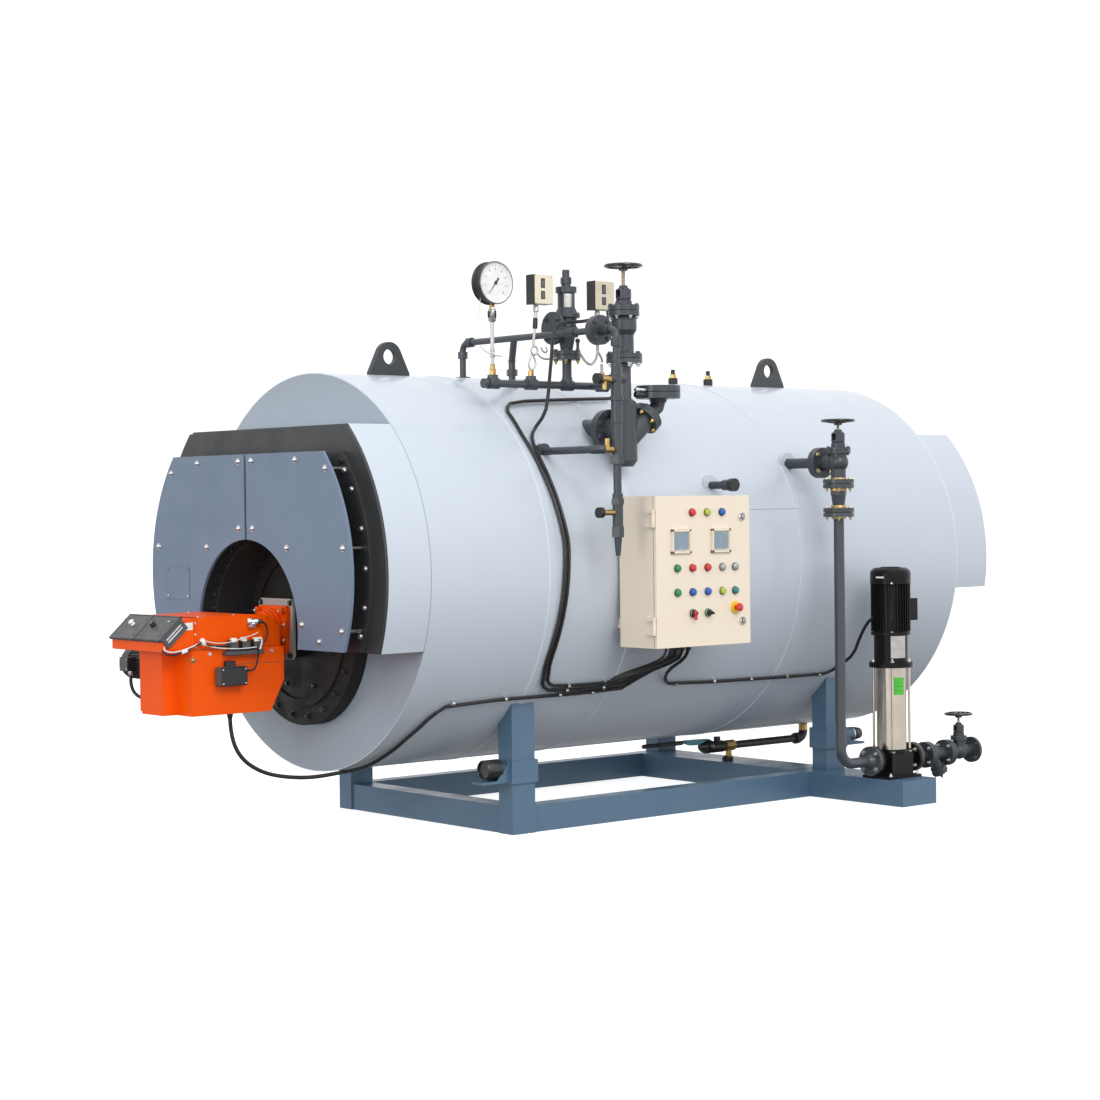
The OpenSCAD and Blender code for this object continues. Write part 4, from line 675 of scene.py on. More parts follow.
@piece("door_edge_bolts", "black_plate")
def door_edge_bolts(part):
    for k in range(26):
        a = math.radians(-14 + 208 * k / 25)
        z = ARCH_Z + 0.482 * math.sin(a)
        if z > AXIS_Z - 0.35:
            part.hexbolt((DOOR_X, 0.482 * math.cos(a), z), FRONT, 0.0125, "iron", spin=a)
    for side in SIDES:
        for k in range(5):
            part.hexbolt((DOOR_X, side * (0.12 + 0.14 * k), AXIS_Z + 0.545), FRONT, 0.012, "iron", spin=k)


@piece("furnace_bolts", "furnace_black")
def furnace_bolts(part):
    for a, y, z in ring_of(20, 0.447, math.radians(-63)):
        part.hexbolt((FURNACE_X, y, ARCH_Z + z), FRONT, 0.0155, "iron", stub=0.006, spin=a)
    for a, y, z in ring_of(8, 0.31):
        part.hexbolt((FURNACE_X, y, ARCH_Z + z), FRONT, 0.012, "iron", spin=a)


@piece("cover_name_plate", "cover_paint")
def cover_name_plate(part):
    face = COVER_X - 0.0018
    part.box((face, 0.530, AXIS_Z - 0.135), (COVER_X, 0.755, AXIS_Z + 0.035), "cover", c=0.0008)
    for y in (0.548, 0.737):
        part.dome((face, y, AXIS_Z - 0.119), FRONT, 0.0048, "zinc", 0.004, 14)
        part.dome((face, y, AXIS_Z + 0.019), FRONT, 0.0048, "cover", 0.004, 14)


@piece("cover_edge_angle", "cover_paint")
def cover_edge_angle(part):
    for side in SIDES:
        y = side * 0.012
        part.box((-1.12, y - 0.003, AXIS_Z + 0.18), (-1.1, y + 0.003, AXIS_Z + 0.585), "cover")


# Bolts and fittings of the pipework
def flange_bolts(part, c, axis, r, count, up, down, size, head, nut=None, phase=TAU / 8, stub=0.008):
    """Bolts round a joint at c: heads stand up along the axis from up, nuts down from down."""
    M = at(c, axis)
    z = M.to_3x3() @ Vector(UP)
    for a, u, v in ring_of(count, r, phase):
        part.hexbolt(M @ Vector((u, v, up)), z, size, head, spin=a)
        part.hexbolt(M @ Vector((u, v, -down)), -z, size, nut or head, stub=stub, spin=a)


def arc_plate(part, x, y, r0, r1, a0, a1, z0, z1, mat, n=14):
    """A curved plate round an upright axis, between two angles in degrees; one skin where r1 is None."""
    radii = (r0,) if r1 is None else (r0, r1)
    verts, faces = [], []
    for i in range(n + 1):
        a = math.radians(a0 + (a1 - a0) * i / n)
        verts += [(x + r * math.cos(a), y + r * math.sin(a), z) for r in radii for z in (z0, z1)]
    if r1 is None:
        faces = [[2 * i, 2 * i + 2, 2 * i + 3, 2 * i + 1] for i in range(n)]
    else:
        for a in range(0, 4 * n, 4):
            faces += [[a + 2, a + 6, a + 7, a + 3], [a, a + 1, a + 5, a + 4], [a + 1, a + 3, a + 7, a + 5],
                      [a, a + 4, a + 6, a + 2]]
        faces += [[0, 2, 3, 1], [4 * n, 4 * n + 1, 4 * n + 3, 4 * n + 2]]
    part.raw(verts, faces, mat)


def safety_valve(part, x, y):
    flange_bolts(part, (x, y, 2.4035), UP, 0.056, 4, 0.0218, 0.0248, 0.0105, "slate", "brass", stub=0.012)
    part.lathe([(0.008, 0), (0.008, 0.035), (0.012, 0.036), (0.012, 0.052), (0.008, 0.056)], "iron",
               at((x + 0.04, y - 0.04, 2.431)), 16)
    for a, u, v in ring_of(4, 0.064):
        part.hexbolt((x - 0.098, y + u, 2.537 + v), FRONT, 0.0115, "slate", stub=0.006, spin=a)
    V = at((x, y, 2.592))
    part.disc(0.07, 0.02, "slate", V, 48, 0.002)
    part.lathe([(0.062, 0.02), (0.05, 0.04), (0.0452, 0.052)], "slate", V, 48)
    for a, u, v in ring_of(6, 0.06, TAU / 30):
        part.hexbolt((x + u, y + v, 2.612), UP, 0.008, "slate", spin=a)
    arc_plate(part, x, y, 0.0448, 0.0468, -142, -90, 2.645, 2.713, "steel")


@piece("steam_joint_bolts", "valve_paint")
def steam_joint_bolts(part):
    x, y = MAIN_X, MAIN_Y
    flange_bolts(part, (x, y, 2.378), UP, 0.076, 8, 0.0235, 0.0235, 0.0125, "slate", "zinc", 0.39)
    flange_bolts(part, (x, y, 2.619), UP, 0.066, 6, 0.0275, 0.0265, 0.0105, "slate", "zinc", 0.3)
    flange_bolts(part, (x, -0.825, 2.02), NEAR, 0.085, 8, 0.022, 0.022, 0.0125, "slate", phase=0.39)
    leg = Vector((math.sin(math.radians(50)), 0, math.cos(math.radians(50))))
    flange_bolts(part, Vector((x, y, 1.96)) + leg * 0.19, leg, 0.069, 6, 0.016, 0.026, 0.0115, "slate",
                 "brass", 0.5)
    for z, r, mat in ((2.22, 0.009, "zinc"), (2.196, 0.0125, "iron")):
        part.lathe([(r * 0.6, 0), (r * 0.6, 0.006), (r, 0.008), (r, 0.05), (r * 1.25, 0.052),
                    (r * 1.25, 0.072), (r * 0.8, 0.076)], mat,
                   at((MOUNT["steam_outlet"][0] - 0.112, y - 0.03, z), FRONT), 20)
    safety_valve(part, 0.359, INSTRUMENT_Y)
    flange_bolts(part, (0.235, -1.09, 2.502), NEAR, 0.057, 4, 0.02, 0.02, 0.0115, "slate")


@piece("feed_joint_bolts", "valve_paint")
def feed_joint_bolts(part):
    x, y, z1, z2 = FEED_X, FEED_Y, 1.738, 1.585
    flange_bolts(part, (x, -1.096, 1.85), NEAR, 0.061, 4, 0.022, 0.022, 0.0108, "yellow_zinc")
    for z in (z1, z2):
        flange_bolts(part, (x, y, z - 0.0015), UP, 0.062, 4, 0.0235, 0.0235, 0.0092, "yellow_zinc",
                     stub=0.011)
        part.disc(0.073, 0.0026, "cable", at((x, y, z - 0.0028)), 48, 0.0003)
    flange_bolts(part, (x, y, 1.913), UP, 0.052, 4, 0.017, 0.015, 0.0072, "slate", stub=0.005)
    for profile, sides in (([(0.044, 1.697), (0.0445, 1.699), (0.0445, 1.71), (0.042, 1.7125)], 8),
                           ([(0.0405, 1.607), (0.0405, 1.618), (0.038, 1.622)], 32),
                           ([(0.036, 1.549), (0.0385, 1.551), (0.0385, 1.5595)], 32),
                           ([(0.0425, 1.7605), (0.0425, 1.766), (0.0405, 1.769)], 32)):
        part.lathe(profile, "brass", at((x, y, 0)), sides)


@piece("pump_joint_bolts", "pump_steel")
def pump_joint_bolts(part):
    x, y, z = PUMP_X, PUMP_Y, PUMP_PIPE_Z
    for px, way, r, up, down, size in ((2.052, FRONT, 0.06, 0.022, 0.018, 0.0115),
                                       (2.368, BACK, 0.06, 0.022, 0.018, 0.0115),
                                       (2.491, BACK, 0.054, 0.019, 0.019, 0.0105),
                                       (2.6555, BACK, 0.054, 0.0195, 0.0195, 0.0105)):
        flange_bolts(part, (px, y, z), way, r, 4, up, down, size, "steel")
    for sx, sy in itertools.product(SIDES, SIDES):
        part.hexbolt((x + sx * 0.108, y + sy * 0.085, 0.152), UP, 0.011, "steel", stub=0.008, spin=0.4)
    for a, u, v in ring_of(4, 0.096):
        part.hexbolt((x + u, y + v, 0.766), UP, 0.011, "steel", stub=0.01, spin=a)
    way = Vector((0.614, 0, -0.789))
    strainer = at((2.6, y, 0.142), way)
    part.disc(0.046, 0.011, "slate", strainer, 32, 0.002)
    part.disc(0.017, 0.026, "slate", strainer, 6, 0.002)
    for a, u, v in ring_of(4, 0.034):
        part.hexbolt(strainer @ Vector((u, v, 0.011)), way, 0.0095, "slate", stub=0.012, spin=a)


@piece("anchor_tube_ends", "skid_paint")
def anchor_tube_ends(part):
    for y in (-0.695, 0.695):
        part.lathe([(0.037, 0), (0.049, 0.003), (0.049, 0.094), (0.047, 0.097), (0.043, 0.097),
                    (0.0415, 0.094), (0.0415, 0.0868), (0, 0.0868)], "iron", at((-0.12, y, 0.332), FRONT), 40,
                   caps=False)
        M = at((2.45, y, 0.319), BACK)
        part.lathe([(0.0365, 0), (0.039, 0.001), (0.039, 0.009), (0.0375, 0.0105)], "zinc", M, 40)
        part.lathe([(0.0378, 0.0105), (0.0378, 0.03), (0.031, 0.072), (0.024, 0.08), (0, 0.08)], "plastic", M,
                   40)


@piece("drain_cock", "valve_paint")
def drain_cock(part):
    part.lathe([(0.018, 0), (0.018, 0.03), (0.022, 0.031), (0.022, 0.04)], "brass",
               at((2.168, 0, 0.2), DOWN), 24)
    part.box((2.122, -0.02, 0.132), (2.198, 0.02, 0.166), "iron", c=0.012)
    part.lathe([(0.022, 0), (0.034, 0.01), (0.041, 0.03), (0.041, 0.062), (0.03, 0.085), (0.018, 0.1)],
               "iron", at((2.035, 0, 0.232), FRONT), 32)
    part.prism([(1.815, 0.262), (1.85, 0.248), (1.9, 0.246), (1.95, 0.258), (2.0, 0.262), (2.0, 0.276),
                (1.9, 0.279), (1.815, 0.279)], 0.03, "valve_lever_teal",
               Matrix.Rotation(math.pi / 2, 4, "X") @ Matrix.Translation((0, 0, -0.015)))
    part.lathe([(0.006, 0), (0.006, 0.012)], "iron", at((1.975, 0, 0.258)), 16)
    part.lathe([(0.010, 0), (0.013, 0.006), (0.013, 0.3), (0.011, 0.31)], "plastic",
               at((1.80, 0, 0.267), FRONT), 20)


# Handwheels, whose nuts turn with them
def handwheel(kind, r, stem_r):
    x, y, z = JOINT[kind + "_wheel_turn"]
    name = kind + "_handwheel"
    dress(NODE[name], wheel_and_stem(name + "_paint", x, y, stem_r + 0.0006, z - r * 0.245))
    nut = Piece(name + "_nut", "wheel_black", body=kind + "_wheel")
    nut.hexbolt((x, y, z + r * 0.03), UP, r * 0.12, "iron", h=0.004, stub=0.003)
    nut.lathe([(r * 0.23, -0.002), (r * 0.235, 0.004), (r * 0.2, 0.008)], "iron",
              at((x, y, z - r * 0.24)), 32)
    nut.done()


for kind, r, stem_r in (("main", 0.099, 0.010), ("feed", 0.092, 0.008), ("suction", 0.080, 0.007)):
    handwheel(kind, r, stem_r)


# Pressure gauge
GAUGE_X, GAUGE_Z, GAUGE_BACK, DIAL = -0.126, 2.745, INSTRUMENT_Y + 0.034, 0.066


def tee_nut(part, x, r=0.0155, r1=0.013):
    """The brass hexagon on the instrument pipe that carries an instrument."""
    part.lathe([(r, TEE_Z), (r + 0.0005, TEE_Z + 0.002), (r + 0.0005, TEE_Z + 0.028), (r1, TEE_Z + 0.031)],
               "brass", at((x, INSTRUMENT_Y, 0)), 6)


@piece("gauge_case", "gauge_steel", replaces=["pressure_gauge"])
def gauge_case(part):
    M = at((GAUGE_X, GAUGE_BACK, GAUGE_Z), NEAR)
    part.lathe([(0.088, 0.0), (0.104, 0.004), (0.107, 0.007), (0.107, 0.013), (0.101, 0.017), (0.099, 0.03),
                (0.1005, 0.034), (0.1005, 0.038), (0.099, 0.041), (0.101, 0.056), (0.1065, 0.058)],
               "plastic", M, 96)
    for profile, mat in (([(0.1065, 0.058), (0.107, 0.062), (0.107, 0.0705), (0.1058, 0.0735)], "plastic"),
                         ([(0.1058, 0.0735), (0.1045, 0.0755), (0.1002, 0.0755), (0.0992, 0.0735)],
                          "button_grey"),
                         ([(0.0992, 0.0735), (0.0975, DIAL), (0.0, DIAL)], "label_white")):
        part.lathe(profile, mat, M, 96, caps=False)
    tee_nut(part, GAUGE_X, 0.017, 0.015)
    C = at((GAUGE_X, INSTRUMENT_Y, TEE_Z))
    part.lathe([(0.013, 0.031), (0.013, 0.05), (0.0095, 0.054)], "brass", C, 24)
    part.lathe([(0.0095, 0.05), (0.0095, 0.115), (0.013, 0.117), (0.0135, 0.129), (0.0095, 0.132),
                (0.0095, 0.27)], "pale_tube", C, 24)
    part.lathe([(0.015, 0.262), (0.019, 0.268), (0.019, 0.278), (0.021, 0.281), (0.021, 0.318),
                (0.019, 0.321), (0.017, 0.331)], "steel", C, 8)
    for k in range(24):
        part.box((0.0195, -0.001, 0.284), (0.0222, 0.001, 0.315), "iron",
                 C @ Matrix.Rotation(TAU * k / 24, 4, "Z"), 0.0004)
    part.lathe([(0.013, 0.33), (0.0135, 0.334), (0.0135, 0.35), (0.011, 0.357)], "brass", C, 24)


def dial_place():
    """The dial's middle, with X to the right and Y up."""
    D = Matrix((BACK, UP, NEAR)).transposed().to_4x4()
    D.translation = Vector((GAUGE_X, GAUGE_BACK - DIAL, GAUGE_Z))
    return D


@piece("gauge_dial_marks", "gauge_steel")
def gauge_dial_marks(part):
    D = dial_place()
    for k in range(41):
        inner, half = (0.078, 0.0008) if k % 5 == 0 else (0.083, 0.0004)
        part.box((inner, -half, 0.0001), (0.09, half, 0.0006), "dial_ink_grey",
                 D @ Matrix.Rotation(math.radians(225 - 270 * k / 40), 4, "Z"), 0.0001)
    part.prism([(-0.03, -0.0035), (-0.026, -0.005), (0.0, -0.0024), (0.074, -0.0006), (0.074, 0.0006),
                (0.0, 0.0024), (-0.026, 0.005), (-0.03, 0.0035)], 0.0012, "plastic",
               D @ Matrix.Rotation(math.radians(232), 4, "Z") @ Matrix.Translation((0, 0, 0.0022)))
    part.lathe([(0.009, 0.001), (0.009, 0.004), (0.006, 0.0055), (0, 0.0058)], "plastic", D, 24)


def dial_numbers():
    for k in range(9):
        a = math.radians(225 - 270 * k / 8)
        t = bpy.data.curves.new("dial_number", "FONT")
        t.body = str(2 * k)
        t.size = 0.0155
        t.align_x = t.align_y = "CENTER"
        t.extrude = 0.0002
        t.materials.append(MATS["dial_ink_grey"])
        ob = add_object("dial_number_%d" % (2 * k), t)
        spot = (0.067 * math.cos(a), 0.067 * math.sin(a), 0.0003)
        ob.matrix_world = dial_place() @ Matrix.Translation(spot)
        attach(ob, "boiler")


dial_numbers()


# Pressure switches
def switch_box(part, x0, x1, zc):
    y, h = INSTRUMENT_Y, 0.0755
    part.box((x0, y - 0.033, zc - h), (x0 + 0.012, y + 0.033, zc + h), "plastic", c=0.003)
    part.box((x0 + 0.003, y - 0.02, zc - h + 0.002), (x1 - 0.001, y + 0.033, zc + h - 0.002), "plastic",
             c=0.003)
    part.box((x0 + 0.0005, y - 0.0335, zc - h + 0.0005), (x1, y - 0.018, zc + h - 0.0005), "cream", c=0.004)
    cx = x0 + (x1 - x0) * 0.46
    for z, hh in ((zc + 0.032, 0.024), (zc - 0.028, 0.02)):
        part.box((cx - 0.013, y - 0.0348, z - hh), (cx + 0.013, y - 0.033, z + hh), "plastic", c=0.001)
        part.box((cx - 0.008, y - 0.0356, z - hh + 0.006), (cx + 0.008, y - 0.0344, z + hh - 0.006),
                 "window_grey", c=0.0008)
    for x, z in itertools.product((x0 + 0.012, x1 - 0.012), (zc - 0.065, zc + 0.065)):
        part.dome((x, y - 0.0335, z), NEAR, 0.0028, "zinc", 0.002, 12)


@piece("switch_body_1", "switch_plastic")
def left_switch(part):
    y, lean = INSTRUMENT_Y, (0.07, 0, 1)
    switch_box(part, 0.12, 0.246, 2.7265)
    tee_nut(part, 0.120)
    for pts, r, n in (
            ([(0.122, y, 2.318), (0.105, y, 2.342), (0.112, y, 2.37), (0.128, y, 2.402)], 0.0052, 10),
            ([(0.122, y, 2.318), (0.152, y, 2.342), (0.150, y, 2.37), (0.134, y, 2.402)], 0.0052, 10),
            ([(0.136, y, 2.437), (0.14, y, 2.47), (0.145, y, 2.5), (0.150, y, 2.535)], 0.0072, 12),
            ([(0.160, y, 2.41), (0.178, y - 0.004, 2.388), (0.209, y - 0.006, 2.378), (0.25, y, 2.382),
              (0.296, y, 2.388)], 0.0055, 10),
            ([(0.18, y - 0.01, 2.436), (0.192, y - 0.012, 2.416), (0.209, y - 0.01, 2.41),
              (0.225, y - 0.006, 2.422), (0.218, y, 2.442)], 0.0052, 10)):
        part.tube(pts, r, "pale_tube", n)
    part.ring(0.021, 0.0052, "pale_tube", at((0.141, y - 0.004, 2.42), NEAR), 36, 10)
    part.lathe([(0.0095, 0), (0.0125, 0.003), (0.0125, 0.052), (0.0095, 0.055)], "plastic",
               at((0.150, y, 2.53), lean), 20)
    part.lathe([(0.0095, 0), (0.0095, 0.03), (0.015, 0.034), (0.015, 0.054), (0.012, 0.058), (0.012, 0.08)],
               "pale_tube", at((0.1538, y, 2.584), lean), 20)


@piece("switch_body_2", "switch_plastic", replaces=["pressure_switches"])
def right_switch(part):
    y = INSTRUMENT_Y
    switch_box(part, 0.524, 0.661, 2.715)
    tee_nut(part, 0.596)
    part.lathe([(0.0085, TEE_Z + 0.03), (0.0085, TEE_Z + 0.075)], "pale_tube", at((0.596, y, 0)), 20)
    part.lathe([(0.0075, 2.42), (0.0085, 2.424), (0.0085, 2.6), (0.0145, 2.606), (0.0145, 2.63),
                (0.012, 2.634), (0.012, 2.6405)], "pale_tube", at((0.569, y, 0)), 20)
    part.tube([(0.569, y, 2.446), (0.562, y - 0.004, 2.410), (0.541, y - 0.008, 2.375),
               (0.508, y - 0.01, 2.357), (0.474, y - 0.008, 2.377), (0.455, y, 2.41),
               (0.432, y, 2.43)], 0.0072, "pale_tube", 12)
    part.tube([(0.57, y, 2.43), (0.58, y - 0.002, 2.415), (0.592, y - 0.004, 2.395), (0.6, y, 2.375)],
              0.0065, "pale_tube", 12)


@piece("capillary_lines", "gauge_steel")
def capillary_lines(part):
    part.tube([(-0.19, -0.69, 2.67), (-0.205, -0.7, 2.6), (-0.222, -0.705, 2.55), (-0.237, -0.71, 2.488)],
              0.003, "pale_tube")
    part.tube([(-0.216, -0.715, 2.431), (-0.196, -0.722, 2.41), (-0.17, -0.724, 2.396),
               (-0.135, -0.722, 2.388), (-0.11, -0.718, 2.385), (-0.076, -0.714, 2.384)], 0.0032, "pale_tube")
    part.lathe([(0.012, 0), (0.013, 0.002), (0.013, 0.01), (0.012, 0.012)], "pale_tube",
               at((GAUGE_X, INSTRUMENT_Y, 2.378)), 20)


# Control panel, drawn on the door with X to the right and Y up from its lower left corner
DOOR = at((PANEL_X, PANEL_FACE, PANEL_Z), NEAR)


def on_door(x, y):
    return DOOR @ Matrix.Translation((x, y, 0))


def lamp(part, x, y, tint):
    # The bezel ring takes the darker ring_ copy of the lamp's colour: painted shade for its shaded side
    part.lathe([(0.0196, 0), (0.0205, 0.001), (0.0205, 0.0048), (0.0192, 0.0062), (0.0178, 0.0062)],
               "ring_" + tint, on_door(x, y), 40)
    part.lathe([(0.0174, 0.005), (0.0174, 0.0135), (0.0165, 0.0162), (0.0135, 0.018), (0.006, 0.0189),
                (0, 0.019)], "lamp_" + tint, on_door(x, y), 36)


def display(part, x):
    x0, x1, y0, y1 = x - 0.066, x + 0.066, 0.466, 0.588
    for a, b, c, d in ((x0, y0, x1, y0 + 0.014), (x0, y1 - 0.014, x1, y1), (x0, y0, x0 + 0.014, y1),
                       (x1 - 0.014, y0, x1, y1)):
        part.box((a, b, 0), (c, d, 0.0135), "panel", DOOR, 0.0022)
    part.box((x0 + 0.012, y0 + 0.012, 0), (x1 - 0.012, y1 - 0.012, 0.005), "bezel_grey", DOOR, 0.001)
    part.box((x0 + 0.016, y0 + 0.022, 0.004), (x1 - 0.016, y1 - 0.020, 0.0066), "screen_grey_blue", DOOR,
             0.001)
    for k in range(4):
        a = x0 + 0.022 + k * 0.022
        part.box((a, y0 + 0.0145, 0.004), (a + 0.014, y0 + 0.0195, 0.0062), "lamp_silver_cap", DOOR, 0.0008)


def lever(part, x, ring, mat, angle, drop):
    """A turn switch: a ring with a bar-shaped lever, turned by an angle."""
    B = on_door(x, 0.167)
    part.lathe([(0.021, 0), (0.0222, 0.002), (0.0222, 0.007), (0.0195, 0.0105), (0.0165, 0.0108)], ring, B,
               36)
    part.ring(0.0196, 0.0011, "zinc", B @ Matrix.Translation((0, 0, 0.0098)), 40, 8)
    part.lathe([(0.0158, 0.008), (0.0158, 0.016), (0.0148, 0.019), (0.012, 0.0195)], "plastic", B, 32)
    L = B @ Matrix.Rotation(angle, 4, "Z")
    part.box((-0.0052, -drop, 0.014), (0.0052, 0.0135, 0.033), mat, L, 0.0025)
    part.lathe([(0.0105, 0.012), (0.0105, 0.031), (0.0088, 0.033)], mat, L, 24)


def key_lock(part, y, turn):
    B = on_door(0.592, y) @ Matrix.Scale(1.22, 4)
    part.lathe([(0.0172, 0), (0.0175, 0.002), (0.0172, 0.006), (0.0152, 0.0095), (0.0138, 0.0095),
                (0.0132, 0.0075)], "zinc", B, 36)
    part.lathe([(0.0132, 0.0076), (0.0108, 0.0076)], "plastic", B, 36)
    part.lathe([(0.0108, 0.0072), (0.0106, 0.0118), (0.0096, 0.0122)], "steel", B, 32)
    part.box((-0.0085, -0.0011, 0.0118), (0.0085, 0.0011, 0.0126), "plastic",
             B @ Matrix.Rotation(turn, 4, "Z"), 0.0003)


@piece("panel_front_fittings", "button_plastic", body="panel_door", replaces=["panel_controls"])
def panel_front_fittings(part):
    columns = (0.140, 0.244, 0.348, 0.451, 0.541)
    for y, first, tints in ((0.671, 1, ("red", "lime", "blue")),
                            (0.394, 0, ("green", "red", "red", "silver_cap", "silver_cap")),
                            (0.273, 0, ("green", "blue", "blue", "lime", "teal"))):
        for x, tint in zip(columns[first:], tints):
            lamp(part, x, y, tint)
    display(part, 0.165)
    display(part, 0.440)
    lever(part, 0.244, "plastic", "lamp_red", 0.0, 0.034)
    lever(part, 0.348, "lamp_green", "plastic", 1.35, 0.022)
    stop = on_door(0.541, 0.187)
    part.lathe([(0.0318, 0), (0.0322, 0.001), (0.0322, 0.0055), (0.0308, 0.0075), (0.014, 0.008)],
               "ring_yellow", stop, 48)
    part.lathe([(0.0125, 0.007), (0.0125, 0.026), (0.0195, 0.028), (0.0213, 0.032), (0.0213, 0.037),
                (0.0195, 0.0405), (0.012, 0.0435), (0, 0.0445)], "lamp_red", stop, 40)
    key_lock(part, 0.646, 0.75)
    key_lock(part, 0.117, -0.5)


@piece("panel_door_seal", "panel_paint", body="panel_door")
def panel_door_seal(part):
    x0, x1, z0, z1, wide = 0.421, 1.063, 0.93, 1.676, 0.012
    for a, b, c, d in ((x0, z0, x1, z0 + wide), (x0, z1 - wide, x1, z1), (x0, z0, x0 + wide, z1),
                       (x1 - wide, z0, x1, z1)):
        part.box((a, -1.2729, b), (c, -1.2686, d), "seal_rubber_brown", c=0.001)


@piece("panel_cable_glands", "cable_rubber")
def panel_cable_glands(part):
    for x, y in ((0.735, -1.09), (0.700, -1.11), (0.718, -1.15), (0.800, -1.11)):
        G = at((x, y, PANEL_Z), DOWN)
        part.disc(0.0175, 0.012, "plastic", G, 6)
        part.lathe([(0.0152, 0.012), (0.0152, 0.022), (0.0125, 0.029), (0.0098, 0.03)], "plastic", G, 20)
    for k, (x, y) in enumerate(((0.655, -1.10), (0.672, -1.13), (0.64, -1.145), (0.69, -1.16))):
        part.disc(0.0135, 0.010, "plastic", at((x, y, PANEL_Z), DOWN), 6)
        bend_x, z = 0.60 - 0.02 * k, 0.826 - 0.006 * k
        part.tube([(x, y, 0.93), (x, y, 0.895), (x - 0.012, y + 0.012, 0.862), (bend_x, y + 0.075, z),
                   (bend_x - 0.09, y + 0.14, z - 0.035),
                   (0.45 - 0.01 * k, -0.93 + 0.012 * k, 0.765 - 0.01 * k)], 0.0062, "cable")


# Cable clips on the shell
def clip(part, x, degrees, r=0.009, wide=0.008):
    """A steel band over a cable that runs along the shell, with its foot and screw."""
    a = math.radians(degrees)
    out = Vector((0, -math.cos(a), math.sin(a)))
    M = Matrix((Vector(BACK).cross(out), out, BACK)).transposed().to_4x4()
    M.translation = Vector((x, 0, AXIS_Z)) + out * (SHELL_R + 0.014)
    verts, faces, k = [], [], 12
    for i in range(k + 1):
        a = math.pi * i / k
        verts += [(q * math.cos(a), q * math.sin(a), z) for q in (r + 0.0004, r + 0.002)
                  for z in (-wide, wide)]
    for a in range(0, 4 * k, 4):
        faces += [[a + 2, a + 3, a + 7, a + 6], [a + 1, a, a + 4, a + 5], [a + 3, a + 1, a + 5, a + 7],
                  [a, a + 2, a + 6, a + 4]]
    part.raw(verts, faces, "zinc", M)
    for e in (-r - 0.0012, r + 0.0012):
        part.box((e - 0.0009, -r - 0.004, -wide), (e + 0.0009, 0.0005, wide), "zinc", M, 0.0003)
    part.box((r + 0.001, -r - 0.0055, -wide), (r + 0.017, -r - 0.0038, wide), "zinc", M, 0.0004)
    part.dome(M @ Vector((r + 0.0095, -r - 0.0038, 0)), out, 0.0046, "zinc", 0.0034, 12)


@piece("cable_clips", "stud_steel")
def cable_clips(part):
    for x in (-0.475, -0.147, 0.203, 0.42):
        clip(part, x, -38.6)
    for x in (0.235, 0.48):
        clip(part, x, -35.4)
        clip(part, x, -37.0)
    for x in (1.0, 1.28, 1.56, 1.84, 2.10):
        clip(part, x, -38 - (x - 0.96) / 1.16)


# Burner
@piece("burner_lid_details", "burner_dark")
def burner_lid_details(part):
    L = Matrix.Translation((-1.755, 0, 1.026)) @ Matrix.Rotation(math.radians(-42.14), 4, "Y")
    x0, x1 = -0.0105, 0.1525
    for y0, y1 in ((-0.2372, 0.0012), (0.0028, 0.2312)):
        for a, b, c, d in ((x0, y0, x0 + 0.006, y1), (x1 - 0.006, y0, x1, y1), (x0, y0, x1, y0 + 0.0042),
                           (x0, y1 - 0.0042, x1, y1)):
            part.box((a, b, 0.0025), (c, d, 0.0168), "lid", L)
    for x, y in itertools.product((0.02, 0.122), (-0.205, -0.032, 0.035, 0.2)):
        part.dome(L @ Vector((x, y, 0.0142)), L.to_3x3() @ Vector(UP), 0.0042, "iron", 0.003, 12)
    part.box((0.0, -0.2378, -0.052), (0.145, -0.2318, 0.004), "lid", L, 0.002)
    for z in (-0.03, -0.016):
        part.box((0.02, -0.2384, z), (0.125, -0.2376, z + 0.007), "zinc", L, 0.0003)
    part.lathe([(0.014, 0), (0.015, 0.003), (0.012, 0.014), (0.015, 0.02), (0.012, 0.024)], "iron",
               L @ Matrix.Translation((0.085, -0.07, 0.0142)), 24)
    part.lathe([(0.012, 0), (0.013, 0.003), (0.010, 0.010), (0.0145, 0.016), (0.0145, 0.02), (0.01, 0.024)],
               "label_white", L @ Matrix.Translation((0.085, 0.12, 0.0142)), 24)


def housing_top(x):
    """Height of the burner housing's top at a distance along it."""
    outline = [(-1.65, 1.121), (-1.54, 1.131), (-1.27, 1.135), (-1.14, 1.121), (-1.08, 1.065)]
    for (a, p), (b, q) in zip(outline, outline[1:]):
        if x <= b:
            return p + (q - p) * (x - a) / (b - a)
    return 1.065


